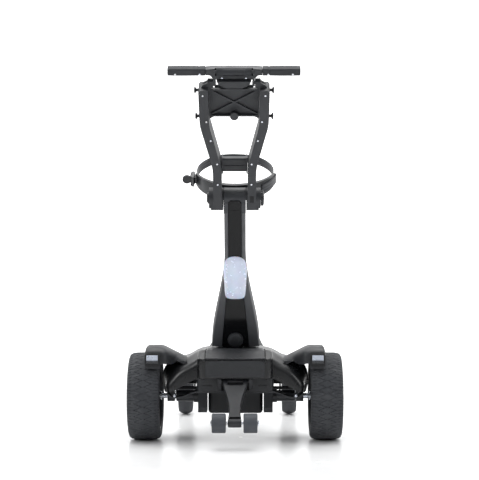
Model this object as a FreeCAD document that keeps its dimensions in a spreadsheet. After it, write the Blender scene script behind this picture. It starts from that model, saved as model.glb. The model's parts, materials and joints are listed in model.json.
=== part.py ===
"""Electric golf trolley: a winged chassis on two driven rear wheels and two swivelling front castors,
with a folding mast, a folding upper frame that carries the handle, a bag cradle with its strap and an
anti-tip stabiliser. +Y is the way it drives and +X its right side. The origin is on the floor under the
middle of the whole trolley. Places along Y are written from the rear axle. Lengths are in millimetres."""
import FreeCAD, Part
import math
import os
import re
import Sketcher

X_AXIS = FreeCAD.Vector(1, 0, 0)
SIZES = {
    # the rear axle's place along Y, which puts the origin under the middle of the whole trolley
    "rear_axle_y": -131.8,
    # rear wheels and drive
    "wheel_radius": 117, "tyre_width": 86, "wheel_offset": 242, "rim_radius": 88, "hub_radius": 24,
    "axle_radius": 7, "running_gap": 0.05, "wall": 3, "gap": 0.4,
    # front castors
    "castor_radius": 70, "castor_width": 44, "castor_offset": 160, "castor_front": 575, "castor_trail": 30,
    "castor_stem": 8, "castor_bolt": 4, "frame_low": 152, "frame_high": 176,
    # chassis
    "deck": 244, "wing": 190, "wing_low": 134, "hull_half": 102, "hull_low": 138, "hull_high": 172,
    "tail_half": 100, "tail_rear": -115, "tail_low": 174, "tail_high": 222, "tail_round": 22,
    "hatch_half": 78, "hatch_front": -6, "hatch_hinge_y": -111.5, "belly_low": 67, "belly_half": 74,
    # sensor arms that reach over the rear wheels
    "pod_inner": 196, "pod_outer": 238, "pod_top": 255, "pod_rear": -96, "pod_low": 203,
    # stabiliser
    "prop_pivot_y": -100, "prop_pivot_z": 165, "roller_y": -195, "roller_z": 68, "roller_radius": 25,
    "roller_inner": 22.5, "roller_width": 36,
    # mast
    "lean": 30, "mast_y": 95, "mast_z": 257, "mast_front": 8, "mast_half": 28, "mast_rear": -50,
    "base_rear": -88, "base_half": 66, "taper_top": 310, "mast_top": 430, "mast_foot": 249,
    "groove": 6, "pin_radius": 4, "lens_half": 30.5, "lens_low": 183, "lens_high": 275,
    "button_z": 59, "button_radius": 21,
    # elbow, upper frame and handle
    "elbow_y": -21, "elbow_z": 460, "elbow_pin": 6, "drum_radius": 27, "drum_inner": 29.7,
    "drum_outer": 66.5, "arm_depth": 60, "arm_inner": 33.3, "arm_outer": 55, "arm_spread": 33,
    "bend_low": 100, "bend_high": 218, "arm_top": 312, "handle_pivot": 322, "handle_centre": 350,
    "handle_half": 163, "grip_height": 18, "grip_depth": 26, "grip_inner": 70, "bar_radius": 5.5,
    # bag cradle
    "loop_centre": 120, "loop_radius": 108, "loop_height": 28, "boss_half": 29, "cradle_high": 18,
    "paddle_radius": 11.9,
}
PREFIX = re.compile(r"\b(" + "|".join(SIZES) + r")\b")

doc = FreeCAD.newDocument("golf_trolley")
sheet = doc.addObject("Spreadsheet::Sheet", "sizes")
for row, (alias, number) in enumerate(SIZES.items(), 1):
    sheet.set(f"A{row}", alias)
    sheet.set(f"B{row}", str(number))
    sheet.setAlias(f"B{row}", alias)
doc.recompute()
sub_parts = []


# ---------------------------------------------------------------- helpers

def size(text):
    """The number that an expression over the sheet gives."""
    return float(sheet.evalExpression(str(text)))


def bind(thing, prop, text):
    """Ties a property to an expression over the sheet."""
    thing.setExpression(prop, PREFIX.sub(r"sizes.\1", str(text)))


def keep(thing, name):
    """Marks a finished object as a sub-part with its own name."""
    thing.Label = name
    sub_parts.append(thing)
    return thing


def body(name):
    return doc.addObject("PartDesign::Body", name)


def place(thing, frame="row", at=("0", "0", "0")):
    """Puts an object into the row frame, the leaning mast's frame, or the upper frame's frame."""
    turn = 0 if frame == "row" else size("lean")
    thing.Placement = FreeCAD.Placement(FreeCAD.Vector(0, 0, 0), FreeCAD.Rotation(X_AXIS, turn))
    x, y, z = at
    if frame == "upper":
        y, z = f"({y} + elbow_y)", f"({z} + elbow_z)"
    if frame == "row":
        bind(thing, ".Placement.Base.y", f"rear_axle_y + {y}")
        bind(thing, ".Placement.Base.z", z)
    else:
        bind(thing, ".Placement.Base.y", f"rear_axle_y + mast_y + {y} * cos(lean) - {z} * sin(lean)")
        bind(thing, ".Placement.Base.z", f"mast_z + {y} * sin(lean) + {z} * cos(lean)")
        bind(thing, ".Placement.Rotation.Angle", "lean")
    bind(thing, ".Placement.Base.x", x)
    return thing


def plane(owner, letters):
    return next(part for part in owner.Origin.OriginFeatures if part.Role == letters + "_Plane")


def dimension(sketch, kind, geometry, vertex, text):
    """Fixes one coordinate of a sketch point, measured from the sketch's origin."""
    if size(text) == 0:
        axis = -2 if kind == "DistanceX" else -1
        sketch.addConstraint(Sketcher.Constraint("PointOnObject", geometry, vertex, axis))
        return
    index = sketch.addConstraint(Sketcher.Constraint(kind, -1, 1, geometry, vertex, size(text)))
    bind(sketch, f"Constraints[{index}]", text)


def outline(owner, letters, shapes, at="0"):
    """A fully dimensioned sketch on a body's own plane, moved to the place 'at' along that plane's axis.
    A shape is a list of (x, y) corners, or one (x, y, radius) circle."""
    sketch = owner.newObject("Sketcher::SketchObject", "outline")
    sketch.AttachmentSupport = [(plane(owner, letters), "")]
    sketch.MapMode = "FlatFace"
    bind(sketch, ".AttachmentOffset.Base.z", f"-({at})" if letters == "XZ" else at)
    for shape in shapes:
        first = sketch.GeometryCount
        if isinstance(shape, tuple):
            x, y, radius = shape
            centre = FreeCAD.Vector(size(x), size(y), 0)
            sketch.addGeometry(Part.Circle(centre, FreeCAD.Vector(0, 0, 1), size(radius)))
            dimension(sketch, "DistanceX", first, 3, x)
            dimension(sketch, "DistanceY", first, 3, y)
            index = sketch.addConstraint(Sketcher.Constraint("Radius", first, size(radius)))
            bind(sketch, f"Constraints[{index}]", radius)
            continue
        corners = [FreeCAD.Vector(size(x), size(y), 0) for x, y in shape]
        count = len(corners)
        for index in range(count):
            sketch.addGeometry(Part.LineSegment(corners[index], corners[(index + 1) % count]))
        for index in range(count):
            after = first + (index + 1) % count
            sketch.addConstraint(Sketcher.Constraint("Coincident", first + index, 2, after, 1))
        for index, (x, y) in enumerate(shape):
            dimension(sketch, "DistanceX", first + index, 1, x)
            dimension(sketch, "DistanceY", first + index, 1, y)
    return sketch


def feature(owner, kind, sketch, length=None):
    made = owner.newObject("PartDesign::" + kind, kind.lower())
    made.Profile = sketch
    if length is not None:
        made.SideType = "Symmetric"
        bind(made, "Length", length)
    return made


def pad(owner, letters, shapes, at, length):
    """A pad of the given whole length, centred on 'at'."""
    return feature(owner, "Pad", outline(owner, letters, shapes, at), length)


def pocket(owner, letters, shapes, at, length):
    """A pocket of the given whole length, centred on 'at'."""
    return feature(owner, "Pocket", outline(owner, letters, shapes, at), length)


def spin(owner, profile, kind="Revolution"):
    """Turns a profile of (position along X, radius) corners about the body's X axis."""
    sketch = outline(owner, "XZ", [profile])
    made = feature(owner, kind, sketch)
    made.ReferenceAxis = (sketch, ["H_Axis"])
    made.Angle = 360
    return made


def loft(owner, letters, sections, kind="AdditiveLoft", ruled=False):
    """Blends a row of outlines, each given as (place along the axis, corners)."""
    sketches = [outline(owner, letters, [corners], at) for at, corners in sections]
    made = feature(owner, kind, sketches[0])
    made.Sections = sketches[1:]
    made.Ruled = ruled
    return made


def soften(owner, radius, choose):
    """Rounds the edges of a body that a test picks out. The test reads an edge's middle and direction."""
    doc.recompute()
    base = owner.Tip
    names = []
    for index, edge in enumerate(owner.Tip.Shape.Edges, 1):
        if edge.Curve.TypeId != "Part::GeomLine":
            continue
        if choose(edge.CenterOfMass, edge.tangentAt(edge.FirstParameter)):
            names.append(f"Edge{index}")
    if not names:
        raise ValueError(f"no edge to round on {owner.Label}")
    made = owner.newObject("PartDesign::Fillet", "soften")
    made.Base = (base, names)
    bind(made, "Radius", radius)
    return made


def along(letter):
    """A test that an edge runs along one axis, whatever its place."""
    index = "xyz".index(letter)
    return lambda middle, way: abs(abs(way[index]) - 1) < 1e-6


def both(right_half):
    """A whole outline from its right half, listed from the bottom to the top."""
    return right_half + [(f"-({x})", y) for x, y in reversed(right_half)]


def box(x0, x1, y0, y1):
    return [(x0, y0), (x1, y0), (x1, y1), (x0, y1)]


def left_of(thing, name):
    """The left-hand twin of a right-hand object."""
    twin = doc.addObject("Part::Mirroring", name)
    twin.Source = thing
    twin.Normal = X_AXIS
    return twin


def pair(thing, name):
    """One sub-part made of a right-hand object and its left-hand twin."""
    group = doc.addObject("Part::Compound", name)
    group.Links = [thing, left_of(thing, name + "_twin")]
    return keep(group, name)


def handed(thing, name):
    """Two sub-parts, a right-hand object and its left-hand twin."""
    keep(left_of(thing, name + "_twin"), name + "_left")
    return keep(thing, name + "_right")


def group_of(name, members):
    group = doc.addObject("Part::Compound", name)
    group.Links = members
    return keep(group, name)


def rod(name, radius, x0, x1, frame, y, z):
    """A plain round bar along X."""
    owner = body(name)
    pad(owner, "YZ", [("0", "0", radius)], f"(({x0}) + ({x1})) / 2", f"({x1}) - ({x0})")
    return place(owner, frame, ("0", y, z))


def in_mast(y, z):
    """A row-frame place, measured from the rear axle, as expressions in the mast's own frame."""
    return (f"(({y}) - mast_y) * cos(lean) + (({z}) - mast_z) * sin(lean)",
            f"(({z}) - mast_z) * cos(lean) - (({y}) - mast_y) * sin(lean)")


# ---------------------------------------------------------------- rear wheels and drive

def tyre():
    """A wide crowned tyre with three shallow grooves round it."""
    half, edge = "tyre_width / 2", "rim_radius + gap"
    owner = body("tyre")
    crown = [(f"{half} - 3", edge), (half, "rim_radius + 9"), (half, "wheel_radius - 12"),
             (f"{half} - 5", "wheel_radius - 4.5"), (f"{half} - 17", "wheel_radius - 0.8"),
             ("0", "wheel_radius")]
    profile = crown + [(f"-({x})", z) for x, z in reversed(crown[:-1])]
    spin(owner, profile)
    for middle in ("-15", "0", "15"):
        groove = [(f"{middle} - 1.5", "wheel_radius - 3"), (f"{middle} + 1.5", "wheel_radius - 3"),
                  (f"{middle} + 1.5", "wheel_radius + 2"), (f"{middle} - 1.5", "wheel_radius + 2")]
        spin(owner, groove, "Groove")
    return place(owner, at=("wheel_offset", "0", "wheel_radius"))


def rim():
    """A dished rim: barrel, outer web with five windows, and a hub bored for the axle and its button."""
    owner = body("rim")
    half = "tyre_width / 2 - 3"
    bore = "axle_radius + running_gap"
    spin(owner, [(f"-({half})", "rim_radius - 4"), (half, "rim_radius - 4"),
                 (half, "rim_radius"), (f"-({half})", "rim_radius")])
    spin(owner, [("8", "hub_radius - 2"), ("24", "rim_radius - 5"), ("24", "rim_radius - 2"),
                 ("32", "rim_radius - 2"), ("30", "rim_radius - 10"), ("15", "hub_radius - 2")])
    spin(owner, [("-34", bore), ("22", bore), ("22", "15"), ("34", "15"), ("36", "19"),
                 ("34", "hub_radius"), ("-34", "hub_radius")])
    inner, outer = "hub_radius + 9", "rim_radius - 13"
    sketch = outline(owner, "YZ", [[("-9", inner), ("9", inner), (f"0.42 * ({outer})", f"0.87 * ({outer})"),
                                    ("0", outer), (f"-0.42 * ({outer})", f"0.87 * ({outer})")]], "25")
    window = feature(owner, "Pocket", sketch, "60")
    doc.recompute()
    ring = owner.newObject("PartDesign::PolarPattern", "windows")
    ring.Originals = [window]
    ring.Axis = (next(part for part in owner.Origin.OriginFeatures if part.Role == "X_Axis"), [""])
    ring.Angle = 360
    ring.Occurrences = 5
    owner.Tip = ring
    return place(owner, at=("wheel_offset", "0", "wheel_radius"))


def axle():
    """A stub axle with the groove that the wheel's catch drops into."""
    owner = body("axle")
    start, end, radius = "160.5 - wheel_offset", "20", "axle_radius"
    spin(owner, [(start, "0"), (end, "0"), (end, f"{radius} - 1"), (f"{end} - 1", radius),
                 ("6", radius), ("6", f"{radius} - 1.5"), ("2", f"{radius} - 1.5"), ("2", radius),
                 ("-35", radius), ("-35", "12"), ("-43", "12"), ("-43", radius), (start, radius)])
    return place(owner, at=("wheel_offset", "0", "wheel_radius"))


def release_button():
    """The push button in the middle of the hub that frees the wheel."""
    owner = body("release_button")
    spin(owner, [("27", "0"), ("38", "0"), ("37.4", "8"), ("36", "14"), ("27", "14")])
    return place(owner, at=("wheel_offset", "0", "wheel_radius"))


def gearbox():
    owner = body("gearbox")
    pad(owner, "YZ", [[("-32", "75"), ("32", "75"), ("36", "88"), ("30", "hull_low - 0.4"),
                       ("-30", "hull_low - 0.4"), ("-36", "88")]], "88", "24")
    soften(owner, "5", along("x"))
    return place(owner)


def motor():
    """A flanged tubular motor on the wheel's own axis."""
    owner = body("motor")
    spin(owner, [("100.2", "0"), ("159.5", "0"), ("159.5", "13"), ("158", "15"), ("112", "15"),
                 ("112", "18"), ("100.2", "18")])
    return place(owner, at=("0", "0", "wheel_radius"))


def bearing_block():
    """The block that carries the axle, with a bolting lug on top."""
    owner = body("bearing_block")
    pad(owner, "YZ", [[("-14", "-14"), ("14", "-14"), ("14", "12"), ("20", "18"), ("-20", "18"),
                       ("-14", "12")]], "173", "20")
    pocket(owner, "YZ", [("0", "0", "axle_radius + running_gap")], "173", "30")
    soften(owner, "4", lambda middle, way: along("x")(middle, way) and middle.z < -10)
    return place(owner, at=("0", "0", "wheel_radius"))


# ---------------------------------------------------------------- chassis

def wing_section(width, lift):
    """The right half of the upper shell's section. The width scales it sideways, and lift lowers the
    parts above the wing's foot by that share."""
    shape = [("0.93", "0"), ("1", "8"), ("1", "29"), ("0.92", "47"), ("0.8", "78"), ("0.67", "91"),
             ("0.495", "deck - wing_low - 3.4"), ("0.25", "deck - wing_low")]
    return [(f"wing * {width} * {x}", f"wing_low + {lift} * ({z})") for x, z in shape]


def shrunk_section(width, lift):
    """The same section drawn in by the wall, and dropped so that it opens the underside."""
    shape = [("0.93", "-20"), ("1", "-12"), ("1", "28"), ("0.92", "45"), ("0.8", "75"), ("0.67", "88"),
             ("0.495", "deck - wing_low - wall - 3.4"), ("0.25", "deck - wing_low - wall")]
    return [(f"wing * {width} * {x} - wall", f"wing_low + {lift} * ({z})") for x, z in shape]


SHELL = [("-86", "0.965", "0.8"), ("-62", "1", "0.985"), ("20", "1", "1"), ("92", "0.96", "1"),
         ("122", "0.84", "0.87"), ("150", "0.62", "0.42")]


def upper_shell():
    """The winged cover, open below, with the tail box at the back and a recess for the battery hatch."""
    owner = body("upper_shell")
    loft(owner, "XZ", [(at, both(wing_section(width, lift))) for at, width, lift in SHELL], ruled=True)
    pad(owner, "XY", [box("-tail_half", "tail_half", "tail_rear", "-50")],
        "(tail_low + tail_high) / 2", "tail_high - tail_low")
    soften(owner, "tail_round", lambda middle, way: along("z")(middle, way) and middle.y < -100)
    hollow = [("-83", "0.965", "0.8")] + SHELL[1:-1] + [("151", "0.61", "0.41")]
    loft(owner, "XZ", [(at, both(shrunk_section(width, lift))) for at, width, lift in hollow],
         "SubtractiveLoft", ruled=True)
    inner = "tail_half - wall"
    pocket(owner, "XY", [box(f"-({inner})", inner, "tail_rear + 8", "-50")],
           "(tail_low + tail_high) / 2 - wall", "tail_high - tail_low")
    pocket(owner, "XY", [box("-(hatch_half + 2)", "hatch_half + 2", "tail_rear - 5", "hatch_front + 2")],
           "tail_high + 15 + gap / 2", "30 - gap")
    pocket(owner, "XY", [box("-(hatch_half - 6)", "hatch_half - 6", "tail_rear + 12", "hatch_front - 4")],
           "tail_high", "20")
    pocket(owner, "XZ", [[("-178", "130"), ("178", "130"), ("103.5", "173"), ("-103.5", "173")]],
           "-85", "50")
    pocket(owner, "XY", [box("-78", "78", "tail_rear - 2", "tail_rear + 2.2")],
           "(tail_low + tail_high) / 2", "tail_high - tail_low - 4")
    pocket(owner, "XZ", [box("-105", "105", "130", "177")], "150", "40")
    return place(owner)


def rear_panel():
    """The blank textured plate set into the tail box."""
    owner = body("rear_panel")
    pad(owner, "XZ", [box("-77.5", "77.5", "tail_low + 2.5", "tail_high - 2.5")], "tail_rear + 0.6", "3")
    soften(owner, "4", along("y"))
    soften(owner, "0.8", lambda middle, way: middle.y < size("tail_rear") - 0.8)
    return place(owner)


def battery_hatch():
    """The lid over the battery, sloping down to the tail and hinged along its rear edge."""
    owner = body("battery_hatch")
    top = "deck + 2"
    low = "tail_high + gap + 0.6"
    profile = [("hatch_hinge_y", low), ("hatch_front", low), ("hatch_front", top), ("-66", top),
               ("hatch_hinge_y", f"{low} + 4.4")]
    pad(owner, "YZ", [profile], "0", "2 * hatch_half")
    for side in ("", "-"):
        pocket(owner, "XZ", [[(f"{side}(hatch_half - 8)", f"{top} + 1"),
                              (f"{side}(hatch_half + 1)", f"{top} + 1"),
                              (f"{side}(hatch_half + 1)", f"{top} - 4")]], "-60", "140")
    inside = [("tail_rear + 14", f"{low} - 1"), ("hatch_front - 3", f"{low} - 1"),
              ("hatch_front - 3", f"{top} - 3"), ("-65", f"{top} - 3"), ("tail_rear + 14", f"{low} + 2")]
    pocket(owner, "YZ", [inside], "0", "2 * (hatch_half - 13)")
    pad(owner, "YZ", [("hatch_hinge_y", f"{low} + 2.2", "2.2")], "0", "2 * hatch_half")
    return place(owner)


def chassis_frame():
    """The lower hull: a tray with the battery bay, and the lugs that carry the stabiliser."""
    owner = body("chassis_frame")
    middle = "(hull_low + hull_high) / 2"
    pad(owner, "XY", [box("-hull_half", "hull_half", "-89", "148")], middle, "hull_high - hull_low")
    soften(owner, "12", along("z"))
    pad(owner, "XY", [box("-74", "74", "-64", "84")], "192", "44")
    pocket(owner, "XY", [box("-70", "70", "-60", "80")], "hull_low + 45", "84")
    pocket(owner, "XY", [box("-36.5", "36.5", "-100", "-68")], middle, "hull_high - hull_low + 2")
    for side in ("", "-"):
        pad(owner, "YZ", [[("-110", "prop_pivot_z - 7"), ("-86", "hull_low + 2"), ("-86", "hull_high"),
                           ("-110", "hull_high")]], f"{side}41", "9")
        pad(owner, "XY", [box(f"{side}100.4", f"{side}184", "-17", "17")], "138.2", "5.6")
        pocket(owner, "XZ", [box(f"{side}62", f"{side}84", "152", "157")], "-89", "6")
    pocket(owner, "YZ", [("prop_pivot_y", "prop_pivot_z", "pin_radius + running_gap")], "0", "120")
    return place(owner)


def undertray():
    """Bowed motor covers under each wing, one moulding with the skid rails between them."""
    owner = body("undertray")
    strip = [("103", "137.7"), ("103", "134"), ("118", "129.5"), ("135", "122.5"), ("150", "119"),
             ("166", "119"), ("176", "124"), ("180", "133.5"), ("176", "130"), ("166", "122"),
             ("150", "122"), ("135", "125.5"), ("118", "132.5")]
    cover = pad(owner, "XZ", [strip], "-62", "54")
    rail = pad(owner, "XZ", [box("60", "103.5", "133.2", "137.7")], "-62", "54")
    pad(owner, "XZ", [box("-60.5", "60.5", "133.2", "137.7")], "-80", "18")
    doc.recompute()
    mirror = owner.newObject("PartDesign::Mirrored", "mirror")
    mirror.Originals = [cover, rail]
    mirror.MirrorPlane = (plane(owner, "YZ"), [""])
    owner.Tip = mirror
    return place(owner)


def belly_housing():
    """The rounded box under the hull that holds the control board."""
    owner = body("belly_housing")
    half, rear, front = "belly_half", "12", "118"
    middle = "(belly_low + hull_low) / 2 - 0.2"
    pad(owner, "XY", [box(f"-{half}", half, rear, front)], middle, "hull_low - belly_low - 0.4")
    soften(owner, "10", lambda point, way: abs(way.z) > 0.99 or point.z < size("belly_low") + 1)
    pocket(owner, "XY", [box(f"-({half} - 4)", f"{half} - 4", f"{rear} + 4", f"{front} - 4")],
           f"{middle} + 4", "hull_low - belly_low")
    return place(owner)


def control_board():
    owner = body("control_board")
    pad(owner, "XY", [box("-58", "58", "24", "106")], "82", "2")
    for x0, x1, y0, y1, top in (("-50", "-14", "32", "76", "97"), ("4", "22", "34", "92", "92"),
                                ("32", "52", "40", "60", "100"), ("32", "52", "72", "96", "95")):
        pad(owner, "XY", [box(x0, x1, y0, y1)], f"(82 + {top}) / 2", f"{top} - 82")
    return place(owner)


def battery_pack():
    """The removable pack, with a carrying bar across its top."""
    owner = body("battery_pack")
    pad(owner, "XY", [box("-66", "66", "-56", "76")], "173", "60")
    soften(owner, "6", lambda middle, way: abs(way.z) > 0.99 or middle.z > 200)
    for side in ("", "-"):
        pad(owner, "XY", [box(f"{side}30", f"{side}40", "-30", "-16")], "207", "12")
    pad(owner, "XY", [box("-40", "40", "-30", "-16")], "213", "4")
    return place(owner)


def mast_bracket():
    """Two lugs on a foot plate, which hold the mast's hinge pin on the deck."""
    owner = body("mast_bracket")
    pad(owner, "XY", [box("-46", "46", "82", "122")], "deck + 1.2", "2")
    for side in ("", "-"):
        pad(owner, "YZ", [[("mast_y - 9", "deck + 1"), ("mast_y + 14", "deck + 1"),
                           ("mast_y + 9", "mast_z + 6"), ("mast_y + 4", "mast_z + 10"),
                           ("mast_y - 4", "mast_z + 10"), ("mast_y - 9", "mast_z + 6")]],
            f"{side}27.5", "11")
    pocket(owner, "YZ", [("mast_y", "mast_z", "pin_radius + running_gap")], "0", "90")
    for x in ("-40", "40"):
        pocket(owner, "XY", [(x, "112", "2.6")], "deck + 2", "8")
    return place(owner)


def pivot_pins():
    """The hinge pins of the mast and of the stabiliser."""
    mast = rod("mast_pin", "pin_radius", "-36", "36", "row", "mast_y", "mast_z")
    prop = rod("prop_pin", "pin_radius", "-45.4", "45.4", "row", "prop_pivot_y", "prop_pivot_z")
    return [mast, prop]


def tail_screws():
    """Round-headed screws under the tail and under each wing."""
    screws = []
    for x, y, z in (("84", "-94", "169"), ("-84", "-94", "169"), ("160", "-90", "126"),
                    ("-160", "-90", "126")):
        screw = body("screw")
        pad(screw, "XZ", [("0", "0", "3.6")], "-0.6", "1.2")
        pad(screw, "XZ", [("0", "0", "2.4")], "-1.5", "1.2")
        screws.append(place(screw, at=(x, y, z)))
    return screws


def sensor_arm():
    """An arm that rises from the wing's shoulder and ends in a pod hugging the top of the tyre."""
    owner = body("sensor_arm")
    front = [("129", "226.5"), ("154", "213.5"), ("164", "202"), ("176", "203"), ("pod_inner - 2", "211"),
             ("pod_inner", "pod_low"), ("pod_outer", "pod_low"), ("pod_outer + 2", "pod_low + 8"),
             ("pod_outer + 2", "pod_top - 9"), ("pod_outer - 5", "pod_top"), ("pod_inner", "pod_top"),
             ("141", "227")]
    pad(owner, "XZ", [front], "(pod_rear + 34) / 2", "34 - pod_rear")
    pocket(owner, "YZ", [("0", "wheel_radius", "wheel_radius + 7")], "pod_outer - 4", "94")
    above = [("pod_rear - 1", "pod_low + 34"), ("pod_rear + 30", "pod_top"), ("10", "pod_top"),
             ("35", "pod_top - 12"), ("35", "pod_top + 9"), ("pod_rear - 1", "pod_top + 9")]
    pocket(owner, "YZ", [above], "190", "140")
    pocket(owner, "XY", [[("100", "pod_rear - 1"), ("188", "pod_rear - 1"), ("152", "pod_rear + 34"),
                          ("100", "pod_rear + 40")]], "230", "80")
    return place(owner)


def sensor_bezel():
    """The rubber surround on the pod's rear face."""
    owner = body("sensor_bezel")
    x0, x1 = "pod_inner + 2", "pod_outer - 1"
    pad(owner, "XZ", [box(x0, x1, "pod_low + 1", "pod_low + 34")], "pod_rear - 4", "7.6")
    soften(owner, "4", along("y"))
    pocket(owner, "XZ", [box(f"{x0} + 4", f"{x1} - 4", "pod_low + 9", "pod_low + 31")], "pod_rear - 8", "8")
    return place(owner)


def sensor_lens():
    owner = body("sensor_lens")
    x0, x1 = "pod_inner + 6.3", "pod_outer - 5.3"
    pad(owner, "XZ", [box(x0, x1, "pod_low + 9.3", "pod_low + 30.7")], "pod_rear - 7", "5.6")
    soften(owner, "1.5", lambda middle, way: middle.y < size("pod_rear") - 9)
    return place(owner)


# ---------------------------------------------------------------- front frame, castors and bag tray

def front_frame():
    """A cross beam bolted to the hull, with two legs out to the castor housings."""
    owner = body("front_frame")
    middle, thick = "(frame_low + frame_high) / 2", "frame_high - frame_low"
    beam = [("-98", "148.4"), ("98", "148.4"), ("128", "300"), ("castor_offset + 16", "castor_front - 30"),
            ("castor_offset + 16", "castor_front"), ("castor_offset - 14", "castor_front"),
            ("castor_offset - 16", "castor_front - 30"), ("98", "320"), ("82", "236"), ("60", "186"),
            ("-60", "186"), ("-82", "236"), ("-98", "320"), ("16 - castor_offset", "castor_front - 30"),
            ("14 - castor_offset", "castor_front"), ("-castor_offset - 16", "castor_front"),
            ("-castor_offset - 16", "castor_front - 30"), ("-128", "300")]
    pad(owner, "XY", [beam], middle, thick)
    soften(owner, "40", lambda point, way: abs(way.z) > 0.99 and 230 < point.y < 330)
    soften(owner, "4", lambda point, way: abs(way.z) < 0.01 and point.z > size("frame_high") - 1)
    for side in ("", "-"):
        pad(owner, "XY", [(f"{side}castor_offset", "castor_front", "22")], "frame_low + 13", "26")
        pocket(owner, "XY", [(f"{side}castor_offset", "castor_front", "castor_stem + running_gap")],
               "frame_low + 10", "28")
    return place(owner)


def castor_fork():
    """Two blades under a crown, with the swivel stem on top and the wheel trailing behind it."""
    owner = body("castor_fork")
    x, y = "castor_offset", "castor_front"
    back = "castor_front - castor_trail"
    blade = [(f"{back} - 13", "castor_radius - 10"), (f"{back} + 13", "castor_radius - 10"),
             (f"{y} + 22", "frame_low - 16"), (f"{y} + 22", "frame_low - 2"),
             (f"{y} - 24", "frame_low - 2"), (f"{y} - 24", "frame_low - 16")]
    pad(owner, "YZ", [blade], x, "castor_width + 16")
    pocket(owner, "YZ", [box("castor_front - 90", "castor_front + 60", "30", "frame_low - 8")],
           x, "castor_width + 6")
    soften(owner, "4", lambda point, way: abs(way.x) > 0.99 and point.z > size("frame_low") - 3)
    pocket(owner, "YZ", [(back, "castor_radius", "castor_bolt + running_gap")], x, "castor_width + 30")
    pad(owner, "XY", [(x, y, "castor_stem")], "frame_low + 10.5", "25.5")
    return place(owner)


def castor_axle():
    """The castor's bolt, with a round head and a nut."""
    owner = body("castor_axle")
    half = "castor_width / 2 + 8.2"
    spin(owner, [(f"-({half}) - 4", "0"), (f"{half} + 4", "0"), (f"{half} + 4", "5"), (f"{half} + 2", "7"),
                 (half, "7"), (half, "castor_bolt"), (f"-({half})", "castor_bolt"), (f"-({half})", "6.5"),
                 (f"-({half}) - 4", "6.5")])
    return place(owner, at=("castor_offset", "castor_front - castor_trail", "castor_radius"))


def castor_hub():
    owner = body("castor_hub")
    bore = "castor_bolt + running_gap"
    half = "castor_width / 2"
    spin(owner, [(f"-({half})", bore), (half, bore), (half, "11"), ("7", "14"), ("5", "44"), ("16", "47"),
                 ("16", "54"), ("-16", "54"), ("-16", "47"), ("-5", "44"), ("-7", "14"),
                 (f"-({half})", "11")])
    return place(owner, at=("castor_offset", "castor_front - castor_trail", "castor_radius"))


def castor_tyre():
    owner = body("castor_tyre")
    half = "castor_width / 2"
    crown = [("15", "54.2"), (f"{half} - 2", "56.5"), (half, "58"), (f"{half} - 2", "castor_radius - 7.5"),
             (f"{half} - 8", "castor_radius - 3.5"), (f"{half} - 15", "castor_radius - 0.8"),
             ("0", "castor_radius")]
    spin(owner, crown + [(f"-({x})", z) for x, z in reversed(crown[:-1])])
    return place(owner, at=("castor_offset", "castor_front - castor_trail", "castor_radius"))


def bag_tray():
    """The tilted seat for the foot of the bag, square to the leaning mast, with a curved front fence."""
    owner = body("bag_tray")
    pad(owner, "XY", [both([("58", "56"), ("84", "100"), ("78", "146"), ("54", "234")])], "-118", "6")
    soften(owner, "12", along("z"))
    above = "frame_high + 0.3"
    foot = [in_mast("152", above), in_mast("200", above), in_mast("248", "200"), in_mast("228", "200"),
            in_mast("192", f"{above} + 6"), in_mast("152", f"{above} + 6")]
    pad(owner, "YZ", [foot], "0", "80")
    pad(owner, "XY", [("0", "118", "118"), ("0", "118", "113")], "-100", "30")
    pocket(owner, "XY", [box("-130", "130", "-10", "220")], "-98", "34")
    pocket(owner, "XY", [box("-22", "22", "210", "250")], "-98", "34")
    for side in ("", "-"):
        pad(owner, "XY", [[(f"{side}83", "100"), (f"{side}77", "140"), (f"{side}73", "140"),
                           (f"{side}79", "100"), (f"{side}69", "82"), (f"{side}73.5", "82")]],
            "-110.5", "9")
    return place(owner, "mast")


def tray_pads():
    """Rubber strips that the bag's foot sits on."""
    owner = body("tray_pads")
    for side in ("", "-"):
        pad(owner, "XY", [[(f"{side}22", "64"), (f"{side}40", "64"), (f"{side}58", "122"),
                           (f"{side}52", "180"), (f"{side}34", "180"), (f"{side}40", "122")]],
            "-113.4", "3")
    return place(owner, "mast")


# ---------------------------------------------------------------- stabiliser

def prop_arm():
    """The stabiliser's arm: a wide head on the hinge, waisting down to the roller's barrel."""
    owner = body("prop_arm")
    y, z = "prop_pivot_y", "prop_pivot_z"
    side = [(f"{y} - 8.5", f"{z} + 4"), (f"{y} - 4.5", f"{z} + 7.5"), (f"{y} + 5", f"{z} + 7.5"),
            (f"{y} + 9", f"{z} + 2"), (f"{y} + 8", f"{z} - 5"),
            ("roller_y + 13", "roller_z + 26"), ("roller_y + 10", "roller_z"),
            ("roller_y + 5", "roller_z - 9"), ("roller_y - 5", "roller_z - 9"), ("roller_y - 10", "roller_z"),
            ("roller_y - 8", "roller_z + 34"), (f"{y} - 38", f"{z} - 20")]
    pad(owner, "YZ", [side], "0", "68")
    for hand in ("", "-"):
        pocket(owner, "XZ", [[(f"{hand}29", f"{z} - 18"), (f"{hand}21", "roller_z + 52"),
                              (f"{hand}17", "roller_z + 40"), (f"{hand}17", "roller_z - 20"),
                              (f"{hand}40", "roller_z - 20"), (f"{hand}40", f"{z} + 30"),
                              (f"{hand}34", f"{z} + 12")]], "-150", "140")
    pocket(owner, "XZ", [box("-20", "20", f"{z} - 8", f"{z} + 5")], "prop_pivot_y - 22", "40")
    pocket(owner, "YZ", [(y, z, "pin_radius + running_gap")], "0", "90")
    pocket(owner, "YZ", [("roller_y", "roller_z", "pin_radius + running_gap")], "0", "90")
    return place(owner)


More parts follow.
